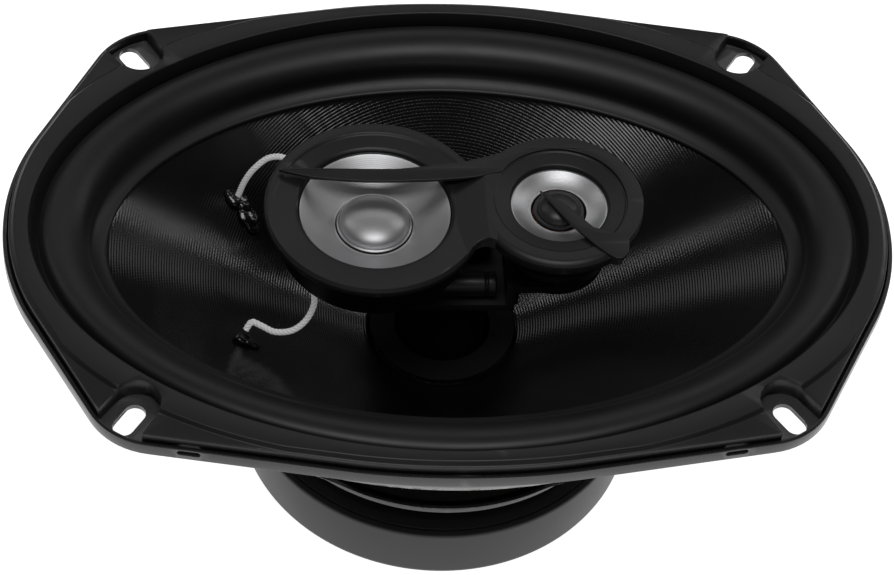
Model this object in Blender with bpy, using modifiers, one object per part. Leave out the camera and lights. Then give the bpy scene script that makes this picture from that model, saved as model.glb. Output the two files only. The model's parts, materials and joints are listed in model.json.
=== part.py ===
"""Oval three-way coaxial car speaker, built as separate pieces.

It stands on its magnet: the origin is the centre of the rear face, +X is the long axis and
+Z points out of the front. Sizes below are in millimetres and meshes are made in metres.
Heights are drawn from the underside of the mounting flange, where the pieces meet, and every
piece is then raised by LIFT.
"""

import math

import bmesh
import bpy
import numpy as np
from mathutils import Matrix

MM = 0.001
GAP = 0.3

# Plan of the frame: an oval rim with four round mounting ears.
RIM_A, RIM_B, RIM_POWER = 118.4, 82.3, 2.1
EAR_X, EAR_Y, EAR_R = 76.6, 51.7, 20.4
SLOT_X, SLOT_Y = 84.5, 62.0
SLOT_WIDTH, SLOT_LENGTH = 5.6, 10.6
SLOT_ANGLE = math.radians(56)
SHEET = 1.2
LIP_TOP = 4.0
OPENING_A, OPENING_B = 107.0, 73.2
BOWL_TOP = -12.0
SHELF_Z, SHELF_R = -50.0, 52.5
CUP_R = 45.0
BASE_Z = -60.9
WINDOW_TOP, WINDOW_SILL = -16.0, -48.0
RIVET_CIRCLE = 38.0
RIVET_R = 1.7

# Trim gasket.
GASKET_TOP = 7.2
GASKET_WING = 6.2
GASKET_A, GASKET_B = 111.7, 75.9
BAY_X, BAY_Y, BAY_R = 82.7, 60.0, 6.4
SEAT_R, SEAT_RISE = 6.0, 0.25

# Rubber surround and cone.
FOOT_A, FOOT_B = 108.8, 74.4
ROLL_WIDTH = 13.0
ROLL_HEIGHT = 5.0
FOOT_Z, INNER_FOOT_Z = 1.5, -3.4
RUBBER = 0.8
LANDING = 3.6
EDGE_A, EDGE_B, EDGE_Z = 92.1, 57.9, -5.4
CONE_SKIN = 1.0
NECK_R, NECK_Z = 19.6, -38.3

# Motor.
FORMER_R = 19.2
FORMER_WALL = 0.3
FORMER_TOP, FORMER_BOTTOM = -38.0, -68.2
WINDING_TOP, WINDING_BOTTOM = -58.0, -68.0
PLATE_TOP, PLATE_BOTTOM, PLATE_R = -61.2, -64.8, 50.0
MAGNET_BOTTOM, MAGNET_R, MAGNET_BORE = -72.4, 52.5, 27.0
YOKE_TOP, YOKE_BOTTOM = -72.7, -76.7
POLE_R, POLE_TOP, POLE_BORE = 18.3, -60.4, 6.4
BOOT_R, BOOT_TOP, BOOT_BOTTOM, BOOT_WALL = 55.2, -59.7, -78.4, 1.8
BOOT_VENT_R = 9.0
LIFT = -BOOT_BOTTOM
POST_R, POST_BORE = 11.5, 3.2

# Pod with the mid driver and the tweeter.
BRACKET_Z, BRACKET_SKIN = -15.0, 2.4
TRAY_Z = -7.5
MID_X, MID_RING_R, MID_CONE_R = -20.5, 29.4, 20.0
MID_RING_Z = 13.2
TWEETER_X, TWEETER_RING_R, TWEETER_FLARE_R = 28.2, 22.3, 12.8
TWEETER_RING_Z = 15.3
RING_FILLET = 3.0
TRIM_THICK = 2.4
TRIM_TILT = math.atan2(2.0, 73.0)

# Terminals.
BOARD_Z = SHELF_Z + GAP
TAB_X, TAB_Y = -61.0, 7.5

# Facets round each piece.
SIDES = 64
LARGE_STEPS = 28
MID_STEPS = 20
SMALL_STEPS = 14
SCREW_STEPS = 8

part_pieces = None
part_cutters = None


def clear_scene():
    for item in list(bpy.data.objects):
        bpy.data.objects.remove(item, do_unlink=True)


def make_collection(name):
    made = bpy.data.collections.new(name)
    bpy.context.scene.collection.children.link(made)
    return made


def finish(name, colour, roughness, metallic=0.0):
    made = bpy.data.materials.new(name)
    made.use_nodes = True
    shader = made.node_tree.nodes["Principled BSDF"]
    shader.inputs["Base Color"].default_value = (*colour, 1.0)
    shader.inputs["Roughness"].default_value = roughness
    shader.inputs["Metallic"].default_value = metallic
    return made


def add_piece(name, data, material, at=(0.0, 0.0)):
    """Put data in the part's collection, with the piece's origin on its own axis."""
    made = bpy.data.objects.new(name, data)
    made.location = (at[0] * MM, at[1] * MM, LIFT * MM)
    data.materials.append(material)
    part_pieces.objects.link(made)
    return made


def add_cutter(name, mesh):
    made = bpy.data.objects.new(name, mesh)
    made.location.z = LIFT * MM
    made.hide_render = True
    made.display_type = "WIRE"
    part_cutters.objects.link(made)
    return made


def combine(piece, other, operation):
    step = piece.modifiers.new(other.name, "BOOLEAN")
    step.operation = operation
    step.solver = "EXACT"
    step.object = other


def smooth(mesh):
    mesh.shade_smooth()
    mesh.set_sharp_from_angle(angle=math.radians(35))


def turned(name, profile, material, at=(0.0, 0.0), steps=LARGE_STEPS):
    """Turn a profile of (radius, z) points about a vertical axis.

    The profile runs down the outer side. One that starts and ends on the axis stays open.
    """
    mesh = bpy.data.meshes.new(name)
    points = [(r * MM, 0.0, z * MM) for r, z in profile]
    edges = [(i, i + 1) for i in range(len(points) - 1)]
    if profile[0][0] > 0:
        edges.append((len(points) - 1, 0))
    mesh.from_pydata(points, edges, [])
    made = add_piece(name, mesh, material, at)
    screw = made.modifiers.new("turn", "SCREW")
    screw.axis = "Z"
    screw.steps = steps
    screw.render_steps = steps
    screw.use_merge_vertices = True
    screw.merge_threshold = 0.00001
    screw.use_smooth_shade = True
    return made


def tube(inner, outer, top, bottom):
    """Profile of a plain ring."""
    return [(inner, top), (outer, top), (outer, bottom), (inner, bottom)]


def disc(radius, top, bottom):
    """Profile of a plain solid disc."""
    return [(0, top), (radius, top), (radius, bottom), (0, bottom)]


def directions():
    """Plan angles around the speaker, evenly spaced along an oval."""
    t = np.linspace(0, 2 * math.pi, SIDES, endpoint=False)
    return np.arctan2(RIM_B / RIM_A * np.sin(t), np.cos(t))


def oval(a, b, power=1.95):
    """Plan radius of a superellipse in each direction."""
    angle = directions()
    x = np.abs(np.cos(angle) / a) ** power
    y = np.abs(np.sin(angle) / b) ** power
    return (x + y) ** (-1 / power)


def circle(radius):
    return np.full(SIDES, float(radius))


def ear_outline(inset):
    """Plan radius of the frame's edge, moved in by inset: the hull of the rim and the ears."""
    facing = np.linspace(0, 2 * math.pi, 1440, endpoint=False)
    c, s = np.abs(np.cos(facing)), np.abs(np.sin(facing))
    dual = RIM_POWER / (RIM_POWER - 1)
    rim = ((RIM_A * c) ** dual + (RIM_B * s) ** dual) ** (1 / dual)
    ears = EAR_X * c + EAR_Y * s + EAR_R
    reach = np.maximum(rim, ears) - inset
    across = np.cos(directions()[:, None] - facing[None, :])
    limits = np.where(across > 0.1, reach[None, :] / np.maximum(across, 0.1), np.inf)
    return limits.min(axis=1)


def loft(name, rings, material):
    """Join rings of (plan radius, z) into one closed ring-shaped body.

    The rings run down the outer side and come back up the inner side.
    """
    angle = directions()
    points = []
    for radius, z in rings:
        for r, turn in zip(radius, angle):
            points.append((r * math.cos(turn) * MM, r * math.sin(turn) * MM, z * MM))
    faces = []
    for i in range(len(rings)):
        here, there = i * SIDES, (i + 1) % len(rings) * SIDES
        for j in range(SIDES):
            k = (j + 1) % SIDES
            faces.append((here + j, there + j, there + k, here + k))
    mesh = bpy.data.meshes.new(name)
    mesh.from_pydata(points, [], faces)
    recalculate(mesh)
    smooth(mesh)
    return add_piece(name, mesh, material)


def recalculate(mesh):
    work = bmesh.new()
    work.from_mesh(mesh)
    bmesh.ops.recalc_face_normals(work, faces=work.faces)
    work.to_mesh(mesh)
    work.free()


def flat_mesh(name, outline, low, high, place=None):
    """Extrude a closed plan outline from low to high, then move it with place."""
    curve = bpy.data.curves.new(name, "CURVE")
    curve.dimensions = "2D"
    curve.fill_mode = "BOTH"
    curve.extrude = (high - low) / 2 * MM
    spline = curve.splines.new("POLY")
    spline.points.add(len(outline) - 1)
    for point, (x, y) in zip(spline.points, outline):
        point.co = (x * MM, y * MM, 0.0, 1.0)
    spline.use_cyclic_u = True
    holder = bpy.data.objects.new(name, curve)
    bpy.context.scene.collection.objects.link(holder)
    graph = bpy.context.evaluated_depsgraph_get()
    mesh = bpy.data.meshes.new_from_object(holder.evaluated_get(graph))
    bpy.data.objects.remove(holder)
    mesh.transform(Matrix.Translation((0.0, 0.0, (low + high) / 2 * MM)))
    if place is not None:
        mesh.transform(place)
    work = bmesh.new()
    work.from_mesh(mesh)
    bmesh.ops.remove_doubles(work, verts=work.verts, dist=0.000001)
    bmesh.ops.recalc_face_normals(work, faces=work.faces)
    work.to_mesh(mesh)
    work.free()
    return mesh


def arc(centre, radius, start, end, count):
    """Points on an arc, with angles in degrees."""
    turns = [math.radians(start + (end - start) * i / count) for i in range(count + 1)]
    return [(centre[0] + radius * math.cos(t), centre[1] + radius * math.sin(t)) for t in turns]


def round_outline(radius, at=(0.0, 0.0), count=20):
    return arc(at, radius, 5, 365, count)[:-1]


def stadium(length, width, at, angle, count):
    """Outline of a round-ended slot, with angle in radians and count facets at each end."""
    half = (length - width) / 2
    ends = arc((half, 0), width / 2, -90, 90, count) + arc((-half, 0), width / 2, 90, 270, count)
    c, s = math.cos(angle), math.sin(angle)
    return [(at[0] + x * c - y * s, at[1] + x * s + y * c) for x, y in ends]


def wire(name, knots, radius, material, per_span=3):
    """A round wire that runs smoothly through the knots."""
    path = []
    ends = [knots[0]] + knots + [knots[-1]]
    for i in range(1, len(ends) - 2):
        before, start, stop, after = [np.array(p, float) for p in ends[i - 1 : i + 3]]
        for j in range(per_span):
            t = j / per_span
            path.append(
                0.5
                * (
                    2 * start
                    + (stop - before) * t
                    + (2 * before - 5 * start + 4 * stop - after) * t**2
                    + (3 * start - before - 3 * stop + after) * t**3
                )
            )
    path.append(np.array(knots[-1], float))
    curve = bpy.data.curves.new(name, "CURVE")
    curve.dimensions = "3D"
    curve.bevel_depth = radius * MM
    curve.bevel_resolution = 2
    curve.use_fill_caps = True
    spline = curve.splines.new("POLY")
    spline.points.add(len(path) - 1)
    for point, place in zip(spline.points, path):
        point.co = (*(place * MM), 1.0)
    return add_piece(name, curve, material)


# ---- frame, gasket, surround and cone ----


def frame_rings():
    """Section of the pressed frame, from the lip down the outside and up the inside."""
    return [
        (ear_outline(0.0), LIP_TOP),
        (ear_outline(0.0), 0.0),
        (oval(OPENING_A + SHEET, OPENING_B + SHEET), 0.0),
        (oval(OPENING_A + 0.6, OPENING_B + 0.6), BOWL_TOP),
        (circle(SHELF_R + SHEET), SHELF_Z + 0.4),
        (circle(SHELF_R + SHEET), SHELF_Z - SHEET),
        (circle(CUP_R + SHEET), SHELF_Z - SHEET),
        (circle(CUP_R + SHEET), BASE_Z),
        (circle(FORMER_R + 2.0), BASE_Z),
        (circle(FORMER_R + 2.0), BASE_Z + SHEET),
        (circle(CUP_R), BASE_Z + SHEET),
        (circle(CUP_R), SHELF_Z),
        (circle(SHELF_R), SHELF_Z),
        (oval(OPENING_A - 0.6, OPENING_B - 0.6), BOWL_TOP),
        (oval(OPENING_A, OPENING_B), SHEET),
        (ear_outline(SHEET), SHEET),
        (ear_outline(SHEET), LIP_TOP),
    ]


def window_outline(sill_half, top_half):
    """A window seen from the side: straight sill, round corners and leaning sides."""
    corner = 5.0
    right = arc((sill_half - corner, WINDOW_SILL + corner), corner, -90, -10, 4)
    right += arc((top_half - corner, WINDOW_TOP - corner), corner, -10, 90, 4)
    return right + [(-x, z) for x, z in reversed(right)]


def build_basket(material):
    basket = loft("basket", frame_rings(), material)
    lug = flat_mesh("terminal_lug", box_outline(-67, -50, -11, 11), SHELF_Z - SHEET, SHELF_Z - 0.05)
    combine(basket, add_cutter("terminal_lug", lug), "UNION")
    upright = Matrix.Rotation(math.pi / 2, 4, "X")
    sideways = Matrix.Rotation(math.pi / 2, 4, "Z") @ upright
    windows = [
        ("window_front", window_outline(28, 37), 40, 100, upright),
        ("window_back", window_outline(28, 37), -100, -40, upright),
        ("window_right", window_outline(26, 36), 44, 120, sideways),
        ("window_left", window_outline(26, 36), -120, -44, sideways),
    ]
    for name, outline, low, high, place in windows:
        combine(basket, add_cutter(name, flat_mesh(name, outline, low, high, place)), "DIFFERENCE")
    notch = flat_mesh("board_notch", box_outline(-90, -53.2, -14.5, 14.5), SHELF_Z - 0.02, -40)
    combine(basket, add_cutter("board_notch", notch), "DIFFERENCE")
    cut_frame_holes(basket)
    return basket


def box_outline(x_low, x_high, y_low, y_high):
    return [(x_low, y_low), (x_high, y_low), (x_high, y_high), (x_low, y_high)]


def cut_frame_holes(basket):
    """Raised seats, mounting slots and drain holes in the ears, and rivet holes."""
    for i, (sx, sy) in enumerate([(1, 1), (-1, 1), (-1, -1), (1, -1)]):
        name = f"seat_{i + 1}"
        seat = flat_mesh(name, seat_outline(sx, sy), SHEET / 2, SHEET + SEAT_RISE)
        combine(basket, add_cutter(name, seat), "UNION")
        angle = SLOT_ANGLE * sx * sy
        outline = stadium(SLOT_LENGTH, SLOT_WIDTH, (sx * SLOT_X, sy * SLOT_Y), angle, 6)
        name = f"slot_{i + 1}"
        combine(basket, add_cutter(name, flat_mesh(name, outline, -2, 3)), "DIFFERENCE")
        name = f"drain_{i + 1}"
        upright = Matrix.Rotation(math.pi / 2, 4, "X")
        outline = stadium(6.0, 1.8, (sx * 69.5, 2.6), 0.0, 3)
        low, high = (65, 90) if sy < 0 else (-90, -65)
        combine(basket, add_cutter(name, flat_mesh(name, outline, low, high, upright)), "DIFFERENCE")
    for i, at in enumerate(rivet_places()):
        name = f"rivet_hole_{i + 1}"
        mesh = flat_mesh(name, round_outline(RIVET_R + 0.4, at, 8), -62, -58)
        combine(basket, add_cutter(name, mesh), "DIFFERENCE")
    for i, side in enumerate((1, -1)):
        name = f"lug_hole_{i + 1}"
        mesh = flat_mesh(name, round_outline(1.7, (TAB_X, side * TAB_Y), 8), -53, -49)
        combine(basket, add_cutter(name, mesh), "DIFFERENCE")


def rivet_places():
    return [
        (RIVET_CIRCLE * math.cos(math.radians(a)), RIVET_CIRCLE * math.sin(math.radians(a)))
        for a in (45, 135, 225, 315)
    ]


def build_gasket(material):
    edge = ear_outline(SHEET + 0.5)
    band = np.minimum(oval(117.3, 80.6, 2.15), edge - 0.3)
    step = oval(FOOT_A + LANDING + 0.4, FOOT_B + LANDING + 0.4)
    rings = [
        (oval(GASKET_A, GASKET_B), GASKET_TOP),
        (band - 1.0, GASKET_TOP),
        (band, GASKET_WING),
        (edge, GASKET_WING - 0.1),
        (edge, SHEET + GAP),
        (step, SHEET + GAP),
        (step, FOOT_Z + RUBBER + GAP),
        (oval(FOOT_A + 0.9, FOOT_B + 0.9), FOOT_Z + RUBBER + GAP),
    ]
    gasket = loft("gasket", rings, material)
    for i, (sx, sy) in enumerate([(1, 1), (-1, 1), (-1, -1), (1, -1)]):
        outline = bay_outline(sx, sy)
        name = f"bay_{i + 1}"
        combine(gasket, add_cutter(name, flat_mesh(name, outline, 0.5, 9)), "DIFFERENCE")
    return gasket


def bay_outline(sx, sy):
    """A round-bottomed bay that opens outward over one mounting slot."""
    half_turn = arc((0, 0), BAY_R, 90, 270, 10)
    return in_ear(half_turn + [(40, -BAY_R - 2), (40, BAY_R + 2)], sx, sy)


def seat_outline(sx, sy):
    """The flat seat for a screw head, inside the bay and short of the lip."""
    half_turn = arc((0, 0), SEAT_R, 90, 270, 10)
    return in_ear(half_turn + [(7.3, -SEAT_R), (8.4, -3), (8.6, 0), (8.4, 3), (7.3, SEAT_R)], sx, sy)


def in_ear(shape, sx, sy):
    """Turn and move a shape drawn about the bay's centre, with +X pointing outward."""
    angle = SLOT_ANGLE if sx > 0 else math.pi - SLOT_ANGLE
    angle *= sy
    c, s = math.cos(angle), math.sin(angle)
    return [(sx * BAY_X + x * c - y * s, sy * BAY_Y + x * s + y * c) for x, y in shape]


def roll_arc(thin, count):
    """Half-roll section as (offset from the foot oval, z), from the inner foot outward."""
    half = ROLL_WIDTH / 2
    points = []
    for i in range(count + 1):
        turn = math.pi * i / count
        base = INNER_FOOT_Z + (FOOT_Z - INNER_FOOT_Z) * i / count
        offset = -half - (half - thin) * math.cos(turn)
        points.append((offset, base + RUBBER - thin + (ROLL_HEIGHT + thin * 0.2) * math.sin(turn)))
    return points


def build_surround(material):
    land = -ROLL_WIDTH - 4.4
    top = [(land, -4.3)] + roll_arc(0.0, 5) + [(LANDING, FOOT_Z + RUBBER)]
    under = [(land, -5.1)] + roll_arc(RUBBER, 4) + [(LANDING, FOOT_Z)]
    section = top + list(reversed(under))
    rings = [(oval(FOOT_A + d, FOOT_B + d), z) for d, z in section]
    return loft("surround", rings, material)


def cone_ring(share, drop):
    """Straight-sided loft between the round neck (share 0) and the oval edge (share 1)."""
    radius = circle(NECK_R) * (1 - share) + oval(EDGE_A, EDGE_B, 2.0) * share
    return radius, NECK_Z + (EDGE_Z - NECK_Z) * share - drop


def build_cone(material):
    rim = oval(EDGE_A + 2.7, EDGE_B + 2.7, 2.0)
    rings = [cone_ring(share, 0.0) for share in (0.0, 0.5, 1.0)]
    rings += [(rim, EDGE_Z + 0.3), (rim, EDGE_Z - 0.5)]
    rings += [cone_ring(share, CONE_SKIN) for share in (1.0, 0.5, 0.0)]
    return loft("cone", rings, material)


def build_spider(material):
    """Corrugated suspension disc between the former and the frame's shelf."""
    inner, outer, half, count = FORMER_R + 0.4, SHELF_R - 1.5, 0.25, 10
    middle = []
    for i in range(count + 1):
        share = i / count
        wave = (0.9 if i % 2 else -0.9) if 0 < i < count else 0.0
        z = -46.8 * (1 - share) + (SHELF_Z + GAP + half) * share + wave
        middle.append((inner + (outer - inner) * share, z))
    top = [(r, z + half) for r, z in middle]
    under = [(r, z - half) for r, z in reversed(middle)]
    return turned("spider", top + under, material, steps=MID_STEPS)


# ---- motor ----


def build_motor(steel, ferrite, plastic, foil, copper, felt):
    plate = turned("top_plate", tube(20.6, PLATE_R, PLATE_TOP, PLATE_BOTTOM), steel)
    for i, at in enumerate(rivet_places()):
        name = f"plate_hole_{i + 1}"
        mesh = flat_mesh(name, round_outline(RIVET_R + 0.4, at, 8), -66, -60)
        combine(plate, add_cutter(name, mesh), "DIFFERENCE")
    turned("magnet", tube(MAGNET_BORE, MAGNET_R, PLATE_BOTTOM - GAP, MAGNET_BOTTOM), ferrite)
    yoke = [
        (POLE_BORE, POLE_TOP),
        (POLE_R, POLE_TOP),
        (POLE_R, YOKE_TOP),
        (PLATE_R, YOKE_TOP),
        (PLATE_R, YOKE_BOTTOM),
        (POLE_BORE, YOKE_BOTTOM),
    ]
    turned("yoke", yoke, steel)
    build_boot(plastic)
    former = tube(FORMER_R - FORMER_WALL, FORMER_R, FORMER_TOP, FORMER_BOTTOM)
    turned("voice_coil_former", former, foil)
    winding = tube(FORMER_R + GAP, FORMER_R + 0.9, WINDING_TOP, WINDING_BOTTOM)
    turned("voice_coil_winding", winding, copper)
    collar = [
        (13.1, NECK_Z + 1.9),
        (19.9, NECK_Z + 1.9),
        (19.9, NECK_Z + 0.8),
        (14.3, NECK_Z + 0.8),
        (14.3, NECK_Z - 1.2),
        (13.1, NECK_Z - 1.2),
    ]
    turned("dust_collar", collar, felt)


def build_boot(plastic):
    """Soft cover over the magnet, open at the top and vented at the bottom."""
    inner = BOOT_R - BOOT_WALL
    boot = [
        (48.7, BOOT_TOP),
        (BOOT_R - 1.0, BOOT_TOP),
        (BOOT_R, BOOT_TOP - 1.0),
        (BOOT_R, BOOT_BOTTOM + 1.0),
        (BOOT_R - 1.0, BOOT_BOTTOM),
        (BOOT_VENT_R, BOOT_BOTTOM),
        (BOOT_VENT_R, BOOT_BOTTOM + 1.4),
        (inner, BOOT_BOTTOM + 1.4),
        (inner, BOOT_TOP - 1.2),
        (48.7, BOOT_TOP - 1.2),
    ]
    turned("magnet_boot", boot, plastic, steps=40)


def build_post(plastic, steel):
    """Post on the pole that carries the pod, with its bolt."""
    post = [
        (POST_BORE, BRACKET_Z - GAP),
        (POST_R, BRACKET_Z - GAP),
        (POST_R, -56.0),
        (14.5, -58.5),
        (14.5, POLE_TOP + GAP),
        (POLE_BORE - 0.4, POLE_TOP + GAP),
        (POLE_BORE - 0.4, -72.0),
        (POST_BORE, -72.0),
    ]
    turned("centre_post", post, plastic, steps=MID_STEPS)
    seat = BRACKET_Z + BRACKET_SKIN + GAP
    bolt = [(0, seat + 3), (4.2, seat + 3), (4.2, seat), (2.6, seat), (2.6, -40), (0, -40)]
    turned("post_bolt", bolt, steel, steps=SCREW_STEPS)


def build_frame_rivets(steel):
    """Rivets that join the frame's base to the top plate."""
    seat = BASE_Z + SHEET + GAP
    profile = [
        (0, seat + 1.0),
        (2.0, seat + 0.8),
        (2.8, seat),
        (RIVET_R, seat),
        (RIVET_R, PLATE_BOTTOM + GAP),
        (0, PLATE_BOTTOM + GAP),
    ]
    first = turned("frame_rivet_1", profile, steel, rivet_places()[0], steps=SCREW_STEPS)
    for i, at in enumerate(rivet_places()[1:]):
        copy = first.copy()
        copy.name = f"frame_rivet_{i + 2}"
        copy.location = (at[0] * MM, at[1] * MM, LIFT * MM)
        part_pieces.objects.link(copy)


# ---- pod ----


def build_bracket(plastic):
    """Stepped plate that carries both small drivers on the post."""
    top = BRACKET_Z + BRACKET_SKIN
    tray_top = TRAY_Z + BRACKET_SKIN
    side = [
        (-14, BRACKET_Z),
        (17.5, BRACKET_Z),
        (17.5, TRAY_Z),
        (TWEETER_X, TRAY_Z),
        (TWEETER_X, tray_top),
        (15.1, tray_top),
        (15.1, top),
        (-14, top),
    ]
    upright = Matrix.Rotation(math.pi / 2, 4, "X")
    mesh = flat_mesh("pod_bracket", side, -13, 13, upright)
    bracket = add_piece("pod_bracket", mesh, plastic)
    pads = [
        ("mid_pad", 12.6, MID_X, BRACKET_Z + 0.1, top - 0.1, "UNION"),
        ("tweeter_pad", 13.6, TWEETER_X, TRAY_Z + 0.1, tray_top - 0.1, "UNION"),
        ("bolt_hole", POST_BORE, 0.0, BRACKET_Z - 1, top + 1, "DIFFERENCE"),
        ("mid_screw_hole", 1.9, MID_X, BRACKET_Z - 1, top + 1, "DIFFERENCE"),
        ("tweeter_screw_hole", 1.9, TWEETER_X, TRAY_Z - 1, tray_top + 1, "DIFFERENCE"),
    ]
    for name, radius, x, low, high, operation in pads:
        mesh = flat_mesh(name, round_outline(radius, (x, 0.0), MID_STEPS), low, high)
        combine(bracket, add_cutter(name, mesh), operation)


def ring_profiles():
    """Sections of the bezel's two rings, each about its own axis."""
    mid = [
        (20.4, MID_RING_Z - 1.2),
        (21.4, MID_RING_Z - 0.6),
        (26.0, MID_RING_Z - 0.6),
        (26.5, MID_RING_Z),
        (MID_RING_R - 0.5, MID_RING_Z),
        (MID_RING_R, MID_RING_Z - 0.5),
        (MID_RING_R, MID_RING_Z - 2.6),
        (28.0, MID_RING_Z - 2.6),
        (28.0, MID_RING_Z - 1.9),
        (20.4, MID_RING_Z - 1.9),
    ]
    tweeter = [
        (TWEETER_FLARE_R, TWEETER_RING_Z - 1.5),
        (13.8, TWEETER_RING_Z - 0.7),
        (TWEETER_RING_R - 1.6, TWEETER_RING_Z),
        (TWEETER_RING_R - 0.5, TWEETER_RING_Z),
        (TWEETER_RING_R, TWEETER_RING_Z - 0.5),
        (TWEETER_RING_R, TWEETER_RING_Z - 4.3),
        (20.6, TWEETER_RING_Z - 4.3),
        (20.6, TWEETER_RING_Z - 2.1),
        (TWEETER_FLARE_R, TWEETER_RING_Z - 2.1),
    ]
    return mid, tweeter


def web_outline():
    """Waist between the two rings, with a round fillet on each side."""
    span = TWEETER_X - MID_X
    near, far = MID_RING_R + RING_FILLET, TWEETER_RING_R + RING_FILLET
    along = (near**2 - far**2 + span**2) / (2 * span)
    across = math.sqrt(near**2 - along**2)
    centre = (MID_X + along, across)
    start = math.degrees(math.atan2(-across, -along))
    end = math.degrees(math.atan2(-across, span - along))
    upper = arc(centre, RING_FILLET, start, end, 6)
    return upper + [(x, -y) for x, y in reversed(upper)]


def build_bezel(plastic):
    """Figure-of-eight bezel: two turned rings joined by the web."""
    mid, tweeter = ring_profiles()
    bezel = turned("pod_bezel", mid, plastic, (MID_X, 0.0), steps=40)
    ring = turned("tweeter_ring", tweeter, plastic, (TWEETER_X, 0.0), steps=LARGE_STEPS)
    part_pieces.objects.unlink(ring)
    part_cutters.objects.link(ring)
    ring.hide_render = True
    ring.display_type = "WIRE"
    web = flat_mesh("web", web_outline(), MID_RING_Z - 1.8, MID_RING_Z - 0.3)
    web_piece = add_cutter("web", web)
    for name, radius, x in [("mid_bore", 26.2, MID_X), ("tweeter_bore", 20.7, TWEETER_X)]:
        bore = flat_mesh(name, round_outline(radius, (x, 0.0), LARGE_STEPS), 10.0, 14.0)
        cutter = add_cutter(name, bore)
        combine(web_piece, cutter, "DIFFERENCE")
    combine(bezel, cutter, "DIFFERENCE")
    combine(bezel, web_piece, "UNION")
    combine(bezel, ring, "UNION")


def trim_outline():
    """Plan of the swept trim: a blade over the mid driver, a crescent round the tweeter, a hook."""
    centre = (TWEETER_X, 0.0)
    upper = [(-46.6, 10.9), (-42.0, 11.3), (-36.0, 11.0), (-29.6, 10.4), (-19.0, 9.8)]
    upper += [(-11.0, 10.3), (-3.1, 11.8), (5.0, 13.8), (10.5, 15.9)]
    crescent = arc(centre, 22.6, 132, -33, 20)
    hook = [(47.0, -15.5), (46.3, -18.4), (44.6, -19.4), (42.0, -18.8)]
    back = [(37.0, -16.4), (32.5, -10.8), (28.0, -4.0), (24.0, 3.6), (25.6, 3.2)]
    back += [(30.5, -2.0), (35.5, -7.0), (39.0, -10.2)]
    inner = arc(centre, 17.6, -36, 144, 20)
    lower = [(9.5, 8.4), (2.0, 7.1), (-3.3, 6.3), (-11.3, 5.5), (-19.2, 5.2)]
    lower += [(-29.7, 6.0), (-37.0, 7.6), (-43.0, 9.4)]
    return upper + crescent + hook + back + inner + lower


def build_trim(plastic):
    """The trim leans, so that it clears both rings by the same gap."""
    base = MID_RING_Z + 1.05
    lean = Matrix.Rotation(-TRIM_TILT, 4, "Y")
    pivot = Matrix.Translation((-45 * MM, 0.0, base * MM))
    shape = [(x + 45, y) for x, y in trim_outline()]
    mesh = flat_mesh("swoosh_trim", shape, 0.0, TRIM_THICK, pivot @ lean)
    add_piece("swoosh_trim", mesh, plastic)


def dome_profile(radius, base, crest, skin):
    """A thin dome, from the crest down the outside and back up the inside."""
    outside, inside = [], []
    for i in range(5):
        turn = math.radians(90 * i / 4)
        outside.append((radius * math.sin(turn), base + (crest - base) * math.cos(turn)))
        within = radius - skin
        inside.append((within * math.sin(turn), base + (crest - skin - base) * math.cos(turn)))
    return outside + list(reversed(inside))


def build_mid(plastic, silver, steel, ferrite, copper, rubber, satin):
    at = (MID_X, 0.0)
    housing = [
        (22.9, 9.9),
        (27.5, 9.9),
        (27.5, 8.7),
        (25.0, 8.7),
        (25.0, -1.6),
        (23.0, -3.6),
        (14.4, -3.6),
        (14.4, -2.4),
        (22.6, -2.4),
        (23.7, -1.2),
        (23.7, 8.7),
        (22.9, 8.7),
    ]
    turned("mid_housing", housing, plastic, at)
    pot = [(1.9, -10.8), (11, -10.8), (11, -1.5), (14, -1.5), (14, -12.3), (1.9, -12.3)]
    turned("mid_pot", pot, steel, at, MID_STEPS)
    turned("mid_magnet", disc(8.4, -4.4, -10.5), ferrite, at, SMALL_STEPS)
    turned("mid_pole_cap", disc(8.9, -1.5, -4.1), steel, at, SMALL_STEPS)
    turned("mid_voice_coil", tube(9.5, 10.3, 5.0, -8.0), copper, at, MID_STEPS)
    cone = [(10.8, 5.3), (MID_CONE_R, 10.9), (MID_CONE_R, 10.4), (10.8, 4.8)]
    turned("mid_cone", cone, silver, at)
    turned("mid_dust_cap", dome_profile(10.0, 5.4, 9.6, 0.5), satin, at, MID_STEPS)
    edge = [(20.3, 10.7), (21.4, 11.05), (22.6, 10.7), (25.8, 10.7)]
    edge += [(25.8, 10.2), (22.6, 10.2), (21.4, 10.5), (20.3, 10.2)]
    turned("mid_surround", edge, rubber, at)
    screw = [(0, -10.9), (1.5, -10.9), (1.5, -15.3), (3.0, -15.3), (3.0, -16.6), (0, -16.6)]
    turned("mid_screw", screw, steel, at, SCREW_STEPS)


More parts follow.
